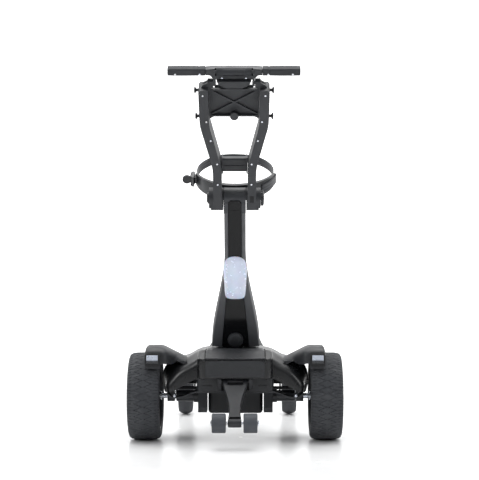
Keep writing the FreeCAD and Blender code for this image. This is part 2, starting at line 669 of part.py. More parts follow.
def roller():
    """One of the two small wheels at the stabiliser's foot."""
    owner = body("roller")
    bore = "pin_radius + running_gap"
    half = "roller_width / 2"
    spin(owner, [(f"-({half})", bore), (half, bore), (half, "roller_radius - 2"),
                 (f"{half} - 2", "roller_radius"), (f"2 - {half}", "roller_radius"),
                 (f"-({half})", "roller_radius - 2")])
    return place(owner, at=("roller_inner + roller_width / 2", "roller_y", "roller_z"))


def prop_axle():
    owner = body("prop_axle")
    half = "roller_inner + roller_width + 0.6"
    spin(owner, [(f"-({half}) - 3", "0"), (f"{half} + 3", "0"), (f"{half} + 3", "6"), (half, "8"),
                 (half, "pin_radius"), (f"-({half})", "pin_radius"), (f"-({half})", "8"),
                 (f"-({half}) - 3", "6")])
    return place(owner, at=("0", "roller_y", "roller_z"))


# ---------------------------------------------------------------- mast

MAST = [("-45", "base_half", "base_rear"), ("0", "base_half", "base_rear"),
        ("82", "60", "base_rear + 10"), ("130", "50", "base_rear + 16"), ("178", "41", "base_rear + 22"),
        ("220", "34", "base_rear + 27"), ("264", "29.5", "base_rear + 32.4"),
        ("taper_top", "mast_half", "mast_rear"), ("mast_top", "mast_half", "mast_rear")]


def groove_half(half):
    """Half the width of the channel down the mast's rear face."""
    return f"0.53 * ({half}) + 2.4"


def mast_section(half, rear):
    """The right half of the mast's section, a box whose rear corners are cut back to broad bevels."""
    bevel = f"0.2 * ({half}) + 6"
    return [(f"{groove_half(half)} + 1.2", rear), (half, f"{rear} + {bevel}"), (half, "mast_front - 9"),
            (f"{half} - 7", "mast_front")]


def hollow_section(half, rear):
    """The right half of the space inside the mast."""
    return [(f"0.6 * ({half}) - 4", f"{rear} + groove + 3.5"), (f"{half} - 4.5", f"{rear} + groove + 12"),
            (f"{half} - 4.5", "mast_front - 10"), (f"{half} - 10", "mast_front - 4")]


def groove_section(half, rear):
    """The channel down the middle of the mast's rear face."""
    side = groove_half(half)
    return box(f"-({side})", side, f"{rear} - 2", f"{rear} + groove")


def cut_foot(owner):
    """Cuts a mast part level, just above the deck."""
    slope = "tan(lean)"
    foot = "(mast_foot - mast_z) / cos(lean)"
    pocket(owner, "YZ", [[("-200", f"{foot} + 200 * {slope}"), ("120", f"{foot} - 120 * {slope}"),
                          ("120", "-220"), ("-200", "-220")]], "0", "200")


def mast_spine():
    """The hollow mast: flared foot, broad side bevels, and a channel down its rear face."""
    owner = body("mast_spine")
    loft(owner, "XY", [(z, both(mast_section(half, rear))) for z, half, rear in MAST], ruled=True)
    loft(owner, "XY", [(z, groove_section(half, rear)) for z, half, rear in MAST], "SubtractiveLoft", True)
    inner = [("-46", "base_half", "base_rear")] + MAST[1:-1] + [("mast_top - 12", "mast_half", "mast_rear")]
    loft(owner, "XY", [(z, both(hollow_section(half, rear))) for z, half, rear in inner],
         "SubtractiveLoft", True)
    cut_foot(owner)
    pocket(owner, "YZ", [box("-10", "30", "-40", "13")], "0", "200")
    pad(owner, "YZ", [[("-10.5", "20"), ("-8", "-4"), ("-4", "-9.5"), ("3", "-10"), ("8", "-6"),
                       ("10", "0"), ("8", "8"), ("mast_front", "20")]], "0", "41")
    for side in ("", "-"):
        pocket(owner, "YZ", [("0", "0", "14.5")], f"{side}27.5", "13")
    pocket(owner, "YZ", [("0", "0", "pin_radius + running_gap")], "0", "90")
    pocket(owner, "XZ", [("0", "button_z", "button_radius + 0.8")], "base_rear + 10", "24")
    return place(owner, "mast")


def rear_slope():
    """Degrees that the mast's rear face leans from the mast's own axis, below the taper's top."""
    return "atan((mast_rear - base_rear) / taper_top)"


def on_rear_face(thing):
    """Puts an object into the frame of the mast's sloping rear face, whose outward side is -Y."""
    tilt = size("lean * 1deg - " + rear_slope())
    thing.Placement = FreeCAD.Placement(FreeCAD.Vector(), FreeCAD.Rotation(X_AXIS, tilt))
    bind(thing, ".Placement.Base.y", "rear_axle_y + mast_y + base_rear * cos(lean)")
    bind(thing, ".Placement.Base.z", "mast_z + base_rear * sin(lean)")
    bind(thing, ".Placement.Rotation.Angle", "lean * 1deg - " + rear_slope())
    return thing


def mast_channel():
    """The gloss strip laid in the mast's channel, with the release button's opening."""
    owner = body("mast_channel")
    rows = MAST[1:-1] + [("elbow_z + 2", "mast_half", "mast_rear")]
    loft(owner, "XY", [(z, box(f"0.6 - ({groove_half(half)})", f"{groove_half(half)} - 0.6",
                               f"{rear} + groove - 3.2", f"{rear} + groove - 0.2"))
                       for z, half, rear in rows], ruled=True)
    cut_foot(owner)
    pocket(owner, "XZ", [("0", "button_z", "button_radius + 0.8")], "base_rear + 10", "24")
    return place(owner, "mast")


def release_tab():
    """The round thumb button that unlocks the mast's fold."""
    owner = body("release_tab")
    pad(owner, "XZ", [("0", "button_z + 1", "button_radius")], "-1.4", "8")
    return on_rear_face(owner)


def status_lens():
    """The long translucent lens on the mast's back, domed and hollow."""
    owner = body("status_lens")
    low, high, half = "lens_low", "lens_high", "lens_half"
    shape = [(f"0.6 * {half}", f"{low} - 2"), (f"0.84 * {half}", f"{low} + 5"), (half, f"{high} - 4"),
             (f"0.86 * {half}", f"{high} + 14"), (f"0.5 * {half}", f"{high} + 25"),
             (f"0.18 * {half}", f"{high} + 28.5")]
    pad(owner, "XZ", [both(shape)], "-5.2", "10")
    soften(owner, "9", lambda middle, way: middle.y < -10)
    pocket(owner, "XZ", [box(f"-0.62 * {half}", f"0.62 * {half}", f"{low} + 6", f"{high} + 8")], "-2", "9")
    return on_rear_face(owner)


def status_board():
    """The light strip behind the lens, with its row of round emitters."""
    owner = body("status_board")
    pad(owner, "XZ", [box("-9", "9", "lens_low + 8", "lens_high + 6")], "1.8", "1.6")
    for index in range(5):
        pad(owner, "XZ", [("0", f"lens_low + 16 + {index} * 18", "4")], "0.6", "2.4")
    return on_rear_face(owner)


def mast_head():
    """The block at the mast's top that carries the elbow's pin."""
    owner = body("mast_head")
    width = "2 * mast_half + 1"
    pad(owner, "YZ", [("elbow_y", "elbow_z", "drum_radius")], "0", width)
    pad(owner, "YZ", [box("mast_rear", "mast_front", "mast_top + 0.2", "elbow_z")], "0", width)
    pocket(owner, "YZ", [("elbow_y", "elbow_z", "elbow_pin + running_gap")], "0", "90")
    pocket(owner, "XZ", [[("-17.6", "mast_top - 2"), ("17.6", "mast_top - 2"), ("17.6", "elbow_z + 3"),
                          ("12", "elbow_z + 9"), ("-12", "elbow_z + 9"), ("-17.6", "elbow_z + 3")]],
           "mast_rear", "2 * groove")
    return place(owner, "mast")


def elbow_pin():
    owner = body("elbow_pin")
    spin(owner, [("-70.5", "0"), ("76", "0"), ("76", "elbow_pin"), ("-66.8", "elbow_pin"), ("-66.8", "15"),
                 ("-69.5", "15"), ("-70.5", "13")])
    return place(owner, "upper")


def elbow_knob():
    """The ribbed wheel that clamps the elbow."""
    owner = body("elbow_knob")
    bore = "elbow_pin + running_gap"
    spin(owner, [("67", bore), ("75.4", bore), ("75.4", "16"), ("73.5", "19"), ("67", "19")])
    for index in range(16):
        angle = f"{index} * 22.5"
        pad(owner, "YZ", [(f"18.4 * cos({angle})", f"18.4 * sin({angle})", "2")], "70.2", "6")
    return place(owner, "upper")


def arc_band(outer, inner, start, end):
    """A band round the bag loop's centre. Angles are in degrees from the mast towards the right side."""
    steps = max(round((end - start) / 6), 1)
    angles = [start + (end - start) * step / steps for step in range(steps + 1)]
    far = [(f"({outer}) * sin({angle})", f"loop_centre - ({outer}) * cos({angle})") for angle in angles]
    near = [(f"({inner}) * sin({angle})", f"loop_centre - ({inner}) * cos({angle})") for angle in angles]
    return far + near[::-1]


def bag_cradle():
    """The C-shaped bracket on the mast's front that hugs the upper part of the bag."""
    owner = body("bag_cradle")
    middle = "elbow_z - 3"
    pad(owner, "XY", [arc_band("loop_radius", "loop_radius - 5", -76, 76)], middle, "2 * cradle_high")
    for start, end in ((-74, -12), (12, 74)):
        for edge in (f"{middle} + cradle_high - 1.5", f"{middle} - cradle_high + 1.5"):
            pad(owner, "XY", [arc_band("loop_radius - 4", "loop_radius - 13", start, end)], edge, "3")
    for side in ("", "-"):
        hook = [("37", "elbow_z - 15"), ("41.5", "elbow_z - 15"), ("41.5", "elbow_z - 30"),
                ("38", "elbow_z - 40"), ("29", "elbow_z - 40"), ("29", "elbow_z - 33"),
                ("31.5", "elbow_z - 33"), ("31.5", "elbow_z - 37"), ("36", "elbow_z - 37"),
                ("37", "elbow_z - 30")]
        pad(owner, "YZ", [hook], f"{side}73", "4")
    pad(owner, "XY", [box("-boss_half", "boss_half", "mast_front + 0.4", "mast_front + 12")],
        f"{middle} - 2", "2 * cradle_high + 4")
    return place(owner, "mast")


def bag_strap():
    """The webbing that closes the cradle's loop round the front of the bag. On the right it folds back
    round the cradle's tip and lies on the outside."""
    owner = body("bag_strap")
    middle, tall = "elbow_z - 3", "loop_height - 4"
    pad(owner, "XY", [arc_band("loop_radius - 5.4", "loop_radius - 8.2", 78, 295)], middle, tall)
    pad(owner, "XY", [arc_band("loop_radius + 3.4", "loop_radius + 0.6", 40, 81)], middle, tall)
    pad(owner, "XY", [arc_band("loop_radius + 3.4", "loop_radius - 8.2", 78, 81)], middle, tall)
    return place(owner, "mast")


def buckle():
    """The block at the cradle's left tip, in which the strap's lever turns."""
    owner = body("buckle")
    pad(owner, "XY", [[("-110.5", "loop_centre - 48"), ("-106.6", "loop_centre - 20"),
                       ("-107.8", "loop_centre - 10"), ("-115", "loop_centre - 10"),
                       ("-119", "loop_centre - 18"), ("-119", "loop_centre - 38")]],
        "elbow_z - 3", "loop_height")
    pocket(owner, "XY", [box("-121", "-111.5", "loop_centre - 42", "loop_centre - 12")],
           "elbow_z - 3", "2 * paddle_radius + 0.4")
    pocket(owner, "XY", [("-115", "loop_centre - 28", "2.05")], "elbow_z - 3", "60")
    return place(owner, "mast")


def strap_lever():
    """The paddle that pulls the strap tight, with a round thumb end and its own trunnions."""
    owner = body("strap_lever")
    pad(owner, "XY", [("-115", "loop_centre - 28", "3.2")], "elbow_z - 3", "loop_height - 10")
    pad(owner, "XY", [[("-115", "loop_centre - 31.2"), ("-115", "loop_centre - 24.8"),
                       ("-128", "loop_centre - 26"), ("-128", "loop_centre - 31.5")]],
        "elbow_z - 3", "loop_height - 10")
    pad(owner, "XZ", [("-128.6", "elbow_z - 3", "paddle_radius")], "loop_centre - 29", "5")
    pad(owner, "XY", [("-115", "loop_centre - 28", "2")], "elbow_z - 3", "loop_height + 1")
    return place(owner, "mast")


# ---------------------------------------------------------------- upper frame and handle

def frame_arm():
    """One side of the upper frame: elbow drum, lyre-shaped arm and the ear that carries the handle."""
    owner = body("frame_arm")
    shape = [("arm_inner", "-18"), ("arm_outer", "-18"), ("arm_outer", "bend_low"),
             ("arm_outer + arm_spread - 2", "bend_high"), ("arm_outer + arm_spread", "arm_top - 5"),
             ("arm_outer + arm_spread - 5", "arm_top"), ("arm_inner + arm_spread - 2", "arm_top"),
             ("arm_inner + arm_spread - 4", "bend_high"), ("arm_inner", "bend_low")]
    pad(owner, "XZ", [shape], "0", "arm_depth")
    soften(owner, "160", lambda middle, way: abs(way.y) > 0.99 and 90 < middle.z < 110)
    soften(owner, "120", lambda middle, way: abs(way.y) > 0.99 and 210 < middle.z < 230)
    drum = "(drum_inner + drum_outer) / 2"
    pad(owner, "YZ", [("0", "0", "drum_radius")], drum, "drum_outer - drum_inner")
    pad(owner, "YZ", [[("-20", "-25.5"), ("12", "-25.5"), ("12", "0"), ("-26", "0"), ("-26", "-20")]],
        "(drum_inner + 62) / 2", "62 - drum_inner")
    pad(owner, "YZ", [("0", "handle_pivot", "10.5")], "58.5", "14")
    pad(owner, "XZ", [[("51.5", "313"), ("66", "305"), ("86", "305"), ("78", "318"), ("66", "325"),
                       ("51.5", "328.5")]], "0", "21")
    pocket(owner, "YZ", [("0", "0", "elbow_pin + running_gap")], "50", "90")
    pocket(owner, "YZ", [("0", "handle_pivot", "pin_radius + running_gap")], "60", "60")
    return place(owner, "upper")


def frame_panel():
    """The ribbed web between the arms, with crossed ribs, a rim, corner webs and a stepped-back top."""
    owner = body("frame_panel")
    low, high = "232", "306"
    rim = both([("62", low), ("63.7", high)])
    pad(owner, "XZ", [rim], "6", "4")
    pad(owner, "XZ", [rim, both([("58.5", f"{low} + 4"), ("60", f"{high} - 4")])], "0", "9")
    for foot, top in (("", "-"), ("-", "")):
        pad(owner, "XZ", [[(f"{foot}58", f"{low} + 3"), (f"{foot}60", f"{low} + 6"),
                           (f"{top}58", f"{high} - 3"), (f"{top}60", f"{high} - 6")]], "1.2", "6")
        pad(owner, "XZ", [[(f"{foot}61.4", f"{low} - 8"), (f"{foot}61.8", f"{low} + 1"),
                           (f"{foot}48", f"{low} + 1"), (f"{foot}54", f"{low} - 1.5"),
                           (f"{foot}59", f"{low} - 4.5")]], "0", "9")
    pad(owner, "XZ", [both([("48", f"{high} - 3"), ("48", "311"), ("37.4", "311"), ("37.4", "328")])],
        "12", "4")
    pad(owner, "XZ", [both([("48", f"{high} - 4"), ("48", f"{high} - 0.5")])], "8", "10")
    return place(owner, "upper")


def frame_crossbar():
    """The brace between the arms just above the elbow, with a groove along its middle."""
    owner = body("frame_crossbar")
    pad(owner, "YZ", [box("8", "26", "71", "109")], "0", "2 * arm_inner - 0.6")
    soften(owner, "5", along("x"))
    pocket(owner, "YZ", [box("6", "10", "88.5", "91.5")], "0", "2 * arm_inner - 12")
    for side in ("", "-"):
        pad(owner, "YZ", [box("5", "28", "67.5", "112.5")], f"{side}(arm_inner - 2)", "3")
    return place(owner, "upper")


def accessory_stud(face, up):
    """A mushroom-headed post on the arm's outer side."""
    owner = body("accessory_stud")
    spin(owner, [(face, "0"), (f"{face} + 11.5", "0"), (f"{face} + 11", "6"), (f"{face} + 9.5", "8.7"),
                 (f"{face} + 7.5", "8.7"), (f"{face} + 5.5", "4"), (face, "4")])
    return place(owner, "upper", ("0", "0", up))


def accessory_studs():
    posts = []
    for face, up in (("arm_outer + arm_spread - 1.3", "232"), ("arm_outer + arm_spread + 0.2", "302")):
        post = accessory_stud(face, up)
        posts += [post, left_of(post, "stud_twin")]
    return posts


def frame_rivets():
    """Round rivet heads down the rear face of both arms."""
    rivets = []
    for x, up in (("43", "54"), ("43.5", "112"), ("59", "177"), ("69", "229"), ("77", "299")):
        owner = body("rivet")
        pad(owner, "XZ", [(x, up, "2.4")], "-(arm_depth / 2) - 0.55", "1")
        rivets += [place(owner, "upper"), left_of(owner, "rivet_twin")]
    return rivets


def panel_knob():
    """The ribbed round knob at the foot of the web."""
    owner = body("panel_knob")
    pad(owner, "XZ", [("0", "236", "10.5")], "-9.6", "9")
    return place(owner, "upper")


def handle_pins():
    pin = rod("handle_pin", "pin_radius", "44.6", "66", "upper", "0", "handle_pivot")
    return [pin, left_of(pin, "handle_pin_twin")]


def handle_yoke():
    """The handle's centre block with its two lugs and the stub bars inside the grips."""
    owner = body("handle_yoke")
    end = "grip_inner - 0.4"
    block = [("46", "334"), ("53", "338"), ("59", "344.6"), (end, "345.4"), (end, "360.6"), ("52", "362.5")]
    pad(owner, "XZ", [both(block)], "0", "26")
    soften(owner, "3", lambda middle, way: abs(way.y) < 0.01)
    for side in ("", "-"):
        pad(owner, "YZ", [("0", "handle_pivot", "9.5")], f"{side}48", "6")
        pad(owner, "YZ", [box("-9.5", "9.5", "handle_pivot", "336")], f"{side}48", "6")
    pocket(owner, "YZ", [("0", "handle_pivot", "pin_radius + running_gap")], "0", "120")
    pad(owner, "YZ", [("0", "handle_centre + 3", "bar_radius")], "0", "2 * handle_half - 6")
    pocket(owner, "YZ", [("-13", "355", "10.5")], "0", "93")
    for side in ("", "-"):
        pad(owner, "YZ", [("-13", "355", "4")], f"{side}46", "5")
    return place(owner, "upper")


def thumb_dial():
    """The speed roller along the handle's middle, ribbed at both ends."""
    owner = body("thumb_dial")
    spin(owner, [("-43", "0"), ("43", "0"), ("43", "9.5"), ("27", "9.5"), ("26", "8.6"), ("-26", "8.6"),
                 ("-27", "9.5"), ("-43", "9.5")])
    for side in ("", "-"):
        for index in range(12):
            angle = f"{index} * 30 + 15"
            pocket(owner, "YZ", [(f"10 * cos({angle})", f"10 * sin({angle})", "1.2")], f"{side}36", "12")
    return place(owner, "upper", ("0", "-13", "355"))


def dock_cup():
    """The bowl under the handle that holds the remote's dock."""
    owner = body("dock_cup")
    bowl = [("20", "313.5"), ("31", "318"), ("39", "325.5"), ("43", "333.6")]
    pad(owner, "XZ", [both(bowl)], "-9", "28")
    soften(owner, "5", lambda middle, way: abs(way.y) < 0.01 and middle.z < 333)
    return place(owner, "upper")


def grip():
    """One rubber grip, bored for the handle's stub bar."""
    owner = body("grip")
    half_h, half_d, centre = "grip_height / 2", "grip_depth / 2", "handle_centre + 3"
    pad(owner, "YZ", [box(f"-({half_d})", half_d, f"{centre} - {half_h}", f"{centre} + {half_h}")],
        "(grip_inner + handle_half) / 2", "handle_half - grip_inner")
    soften(owner, "5", along("x"))
    soften(owner, "1.5", lambda middle, way: middle.x > size("handle_half") - 1)
    pocket(owner, "YZ", [("0", centre, "bar_radius + running_gap")], "grip_inner + 40", "100")
    return place(owner, "upper")


def build():
    handed(tyre(), "tyre")
    handed(rim(), "rim")
    handed(axle(), "axle")
    handed(release_button(), "release_button")
    drives = [gearbox(), motor()]
    group_of("gearmotors", drives + [left_of(unit, "drive_twin") for unit in drives])
    pair(bearing_block(), "bearing_blocks")
    keep(upper_shell(), "upper_shell")
    keep(rear_panel(), "rear_panel")
    keep(battery_hatch(), "battery_hatch")
    keep(chassis_frame(), "chassis_frame")
    keep(undertray(), "undertray")
    keep(belly_housing(), "belly_housing")
    keep(control_board(), "control_board")
    keep(battery_pack(), "battery_pack")
    keep(mast_bracket(), "mast_bracket")
    group_of("chassis_fasteners", pivot_pins() + tail_screws())
    pair(sensor_arm(), "sensor_arms")
    pair(sensor_bezel(), "sensor_bezels")
    pair(sensor_lens(), "sensor_lenses")
    keep(front_frame(), "front_frame")
    handed(castor_fork(), "castor_fork")
    handed(castor_axle(), "castor_axle")
    handed(castor_hub(), "castor_hub")
    handed(castor_tyre(), "castor_tyre")
    keep(bag_tray(), "bag_tray")
    keep(tray_pads(), "tray_pads")
    keep(prop_arm(), "stabiliser_arm")
    keep(prop_axle(), "stabiliser_axle")
    handed(roller(), "stabiliser_roller")
    keep(mast_spine(), "mast_spine")
    keep(mast_channel(), "mast_channel")
    keep(release_tab(), "fold_release_button")
    keep(status_lens(), "status_lens")
    keep(status_board(), "status_board")
    keep(mast_head(), "mast_head")
    keep(elbow_pin(), "elbow_pin")
    keep(elbow_knob(), "elbow_knob")
    keep(bag_cradle(), "bag_cradle")
    keep(bag_strap(), "bag_strap")
    keep(buckle(), "buckle")
    keep(strap_lever(), "strap_lever")
    handed(frame_arm(), "frame_arm")
    keep(frame_panel(), "frame_panel")
    keep(frame_crossbar(), "frame_crossbar")
    group_of("frame_fasteners", accessory_studs() + frame_rivets() + handle_pins())
    keep(panel_knob(), "panel_knob")
    keep(handle_yoke(), "handle_yoke")
    keep(thumb_dial(), "thumb_dial")
    keep(dock_cup(), "dock_cup")
    pair(grip(), "grips")


def write():
    """Checks every object, then writes each sub-part to its own file."""
    doc.recompute()
    faults = [thing.Name for thing in doc.Objects if {"Invalid", "Error"} & set(thing.State)]
    for thing in sub_parts:
        if thing.Shape.isNull() or not thing.Shape.isValid() or not thing.Shape.Solids:
            faults.append(thing.Label)
    if faults:
        raise SystemExit(f"these did not build: {faults}")
    os.makedirs("parts", exist_ok=True)
    for old in os.listdir("parts"):
        os.remove(os.path.join("parts", old))
    for thing in sub_parts:
        thing.Shape.exportStep(os.path.join("parts", thing.Label + ".step"))
    print(len(sub_parts), "sub-parts")


build()
write()
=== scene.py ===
import json
import math

import bmesh
import bpy
from mathutils import Matrix, Vector


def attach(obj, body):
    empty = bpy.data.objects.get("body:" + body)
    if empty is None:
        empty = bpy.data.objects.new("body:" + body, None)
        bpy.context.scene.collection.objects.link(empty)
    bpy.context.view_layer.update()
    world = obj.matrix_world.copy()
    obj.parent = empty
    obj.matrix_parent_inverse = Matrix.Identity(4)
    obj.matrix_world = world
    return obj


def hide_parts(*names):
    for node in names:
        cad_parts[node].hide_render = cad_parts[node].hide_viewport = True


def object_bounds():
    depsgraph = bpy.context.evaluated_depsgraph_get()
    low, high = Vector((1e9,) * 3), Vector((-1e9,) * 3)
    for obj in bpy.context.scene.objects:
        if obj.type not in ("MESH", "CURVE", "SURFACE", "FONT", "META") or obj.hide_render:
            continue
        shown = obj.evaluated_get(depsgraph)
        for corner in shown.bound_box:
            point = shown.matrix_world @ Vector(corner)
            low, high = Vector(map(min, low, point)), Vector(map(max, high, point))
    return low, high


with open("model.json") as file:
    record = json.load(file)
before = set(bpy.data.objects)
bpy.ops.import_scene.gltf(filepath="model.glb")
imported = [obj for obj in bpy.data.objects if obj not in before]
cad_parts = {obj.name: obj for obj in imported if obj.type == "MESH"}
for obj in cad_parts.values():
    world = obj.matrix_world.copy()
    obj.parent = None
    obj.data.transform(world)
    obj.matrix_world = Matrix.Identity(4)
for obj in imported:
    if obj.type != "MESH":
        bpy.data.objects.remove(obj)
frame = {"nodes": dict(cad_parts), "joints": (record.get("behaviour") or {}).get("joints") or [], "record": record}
CAD_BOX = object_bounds()
MM = 0.001
NODES = frame["nodes"]
JOINTS = {joint["name"]: joint for joint in frame["joints"]}
UP = Vector(JOINTS["strap_lever_turn"]["axis"])
PUSH = Vector(JOINTS["fold_release_press"]["axis"])


# ---------------------------------------------------------------- spaces, in which pieces are drawn in mm

def space(origin, up):
    """A space whose Z runs along 'up' and whose X is the row's. Drawn in mm, placed in metres."""
    up = Vector(up).normalized()
    side = Vector((1, 0, 0))
    turn = Matrix((side, up.cross(side), up)).transposed().to_4x4()
    return Matrix.Translation(origin) @ turn @ Matrix.Scale(MM, 4)


WHEEL = Vector(JOINTS["wheel_spin_right"]["pos_m"])
WHEEL_RADIUS = WHEEL.z / MM
ROW = space((0, WHEEL.y, 0), (0, 0, 1))
MAST = space(JOINTS["mast_fold"]["pos_m"], UP)
UPPER = space(JOINTS["elbow_fold"]["pos_m"], UP)
BASE_REAR = -88
FACE = space(MAST @ Vector((0, BASE_REAR, 0)), Vector((1, 0, 0)).cross(PUSH))


# ---------------------------------------------------------------- mesh helpers

def smooth_step(value):
    value = min(max(value, 0), 1)
    return value * value * (3 - 2 * value)


def mix(a, b, share):
    return a + (b - a) * share


def rounded(corners, steps=5):
    """A closed outline from (x, y, radius) corners, each an arc of the same number of points."""
    points = []
    count = len(corners)
    for index, (x, y, radius) in enumerate(corners):
        here = Vector((x, y))
        before = Vector(corners[index - 1][:2]) - here
        after = Vector(corners[(index + 1) % count][:2]) - here
        reach_before = min(radius, before.length * 0.48)
        reach_after = min(radius, after.length * 0.48)
        start = here + before.normalized() * reach_before
        end = here + after.normalized() * reach_after
        for step in range(steps + 1):
            t = step / steps
            points.append(start * (1 - t) ** 2 + here * 2 * t * (1 - t) + end * t ** 2)
    return points


def curve_through(points, steps=4):
    """An open smooth line through 2-D points."""
    ends = [2 * Vector(points[0]) - Vector(points[1])] + [Vector(p) for p in points]
    ends.append(2 * Vector(points[-1]) - Vector(points[-2]))
    line = []
    for a, b, c, d in zip(ends, ends[1:], ends[2:], ends[3:]):
        for step in range(steps):
            t = step / steps
            line.append(0.5 * (2 * b + (c - a) * t + (2 * a - 5 * b + 4 * c - d) * t * t
                               + (3 * b - a - 3 * c + d) * t ** 3))
    return line + [ends[-2]]


def loft(rings, caps=True, closed=True, looped=False):
    """Joins rings of equal point counts into a skin."""
    count = len(rings[0])
    vertices = [point for ring in rings for point in ring]
    faces = []
    rows = len(rings) if looped else len(rings) - 1
    for row in range(rows):
        low, high = row * count, ((row + 1) % len(rings)) * count
        for index in range(count if closed else count - 1):
            after = (index + 1) % count
            faces.append((low + index, low + after, high + after, high + index))
    if caps and not looped:
        faces.append(tuple(range(count))[::-1])
        faces.append(tuple(len(vertices) - count + index for index in range(count)))
    return vertices, faces


def slab(outline, low, high, plane="XY", edge=0.0):
    """An outline pushed along the third axis, with rounded rims of the size 'edge'."""
    centre = sum((Vector(p) for p in outline), Vector((0, 0))) / len(outline)
    rings = []
    for level, inset in ((low, edge), (low + edge * 0.3, edge * 0.3), (low + edge, 0), (high - edge, 0),
                         (high - edge * 0.3, edge * 0.3), (high, edge)):
        ring = []
        for point in outline:
            away = Vector(point) - centre
            away.length = max(away.length - inset, 0)
            ring.append(raised(centre + away, level, plane))
        rings.append(ring)
    return loft(rings if edge else [rings[2], rings[3]])


def rectangle(left, right, low, high):
    return [(left, low), (right, low), (right, high), (left, high)]


def circle(radius, x, y, count=48):
    turns = [2 * math.pi * index / count for index in range(count)]
    return [(x + radius * math.cos(turn), y + radius * math.sin(turn)) for turn in turns]


def raised(point, level, plane):
    """A 2-D point put into a plane at its level along the third axis."""
    x, y = point
    return {"XY": (x, y, level), "XZ": (x, level, y), "YZ": (level, x, y)}[plane]


def lathe(profile, segments=64, centre=(0, 0, 0)):
    """Spins (position along X, radius) points round the X axis into a closed skin."""
    rings = []
    for step in range(segments):
        angle = 2 * math.pi * step / segments
        rings.append([(centre[0] + x, centre[1] + radius * math.cos(angle),
                       centre[2] + radius * math.sin(angle)) for x, radius in profile])
    return loft(rings, looped=True)


def joined(*skins):
    vertices, faces = [], []
    for some_vertices, some_faces in skins:
        start = len(vertices)
        vertices += some_vertices
        faces += [tuple(start + index for index in face) for face in some_faces]
    return vertices, faces


def mirrored(skin):
    vertices, faces = skin
    return [(-x, y, z) for x, y, z in vertices], [face[::-1] for face in faces]


def both_sides(skin):
    return joined(skin, mirrored(skin))


def new_object(name, skin, where):
    """An object from a skin placed in the row frame, with its doubled points joined and faces turned out."""
    vertices, faces = skin
    mesh = bpy.data.meshes.new(name)
    mesh.from_pydata([where @ Vector(vertex) for vertex in vertices], [], faces)
    work = bmesh.new()
    work.from_mesh(mesh)
    bmesh.ops.remove_doubles(work, verts=work.verts, dist=0.01 * MM)
    bmesh.ops.recalc_face_normals(work, faces=work.faces)
    work.to_mesh(mesh)
    work.free()
    made = bpy.data.objects.new(name, mesh)
    bpy.context.scene.collection.objects.link(made)
    return made


def shade(mesh, sharp):
    """Smooth shading that breaks where faces meet at more than 'sharp' degrees."""
    mesh.shade_smooth()
    mesh.set_sharp_from_angle(angle=math.radians(sharp))


def piece(name, skin, where, body, material, replaces=(), sharp=35):
    """A finished object: its skin placed in the row frame, shaded, given its material and its body."""
    made = new_object(name, skin, where)
    shade(made.data, sharp)
    made.data.materials.append(material)
    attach(made, body)
    if replaces:
        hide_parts(*replaces)
    return made


def round_edges(thing, width, angle=32, segments=2):
    bevel = thing.modifiers.new("rim", "BEVEL")
    bevel.width = width * MM
    bevel.segments = segments
    bevel.limit_method = "ANGLE"
    bevel.angle_limit = math.radians(angle)
    bevel.harden_normals = False
    bevel.use_clamp_overlap = True
    normals = thing.modifiers.new("normals", "WEIGHTED_NORMAL")
    normals.keep_sharp = False
    normals.weight = 60


def cut(thing, cutter_skin, where):
    """Takes a skin's volume out of a piece, and keeps the result as the piece's own mesh."""
    cutter = new_object("cutter", cutter_skin, where)
    boolean = thing.modifiers.new("cut", "BOOLEAN")
    boolean.object = cutter
    boolean.solver = "EXACT"
    bpy.context.view_layer.update()
    graph = bpy.context.evaluated_depsgraph_get()
    result = bpy.data.meshes.new_from_object(thing.evaluated_get(graph))
    thing.modifiers.remove(boolean)
    thing.data = result
    bpy.data.objects.remove(cutter)


# ---------------------------------------------------------------- materials

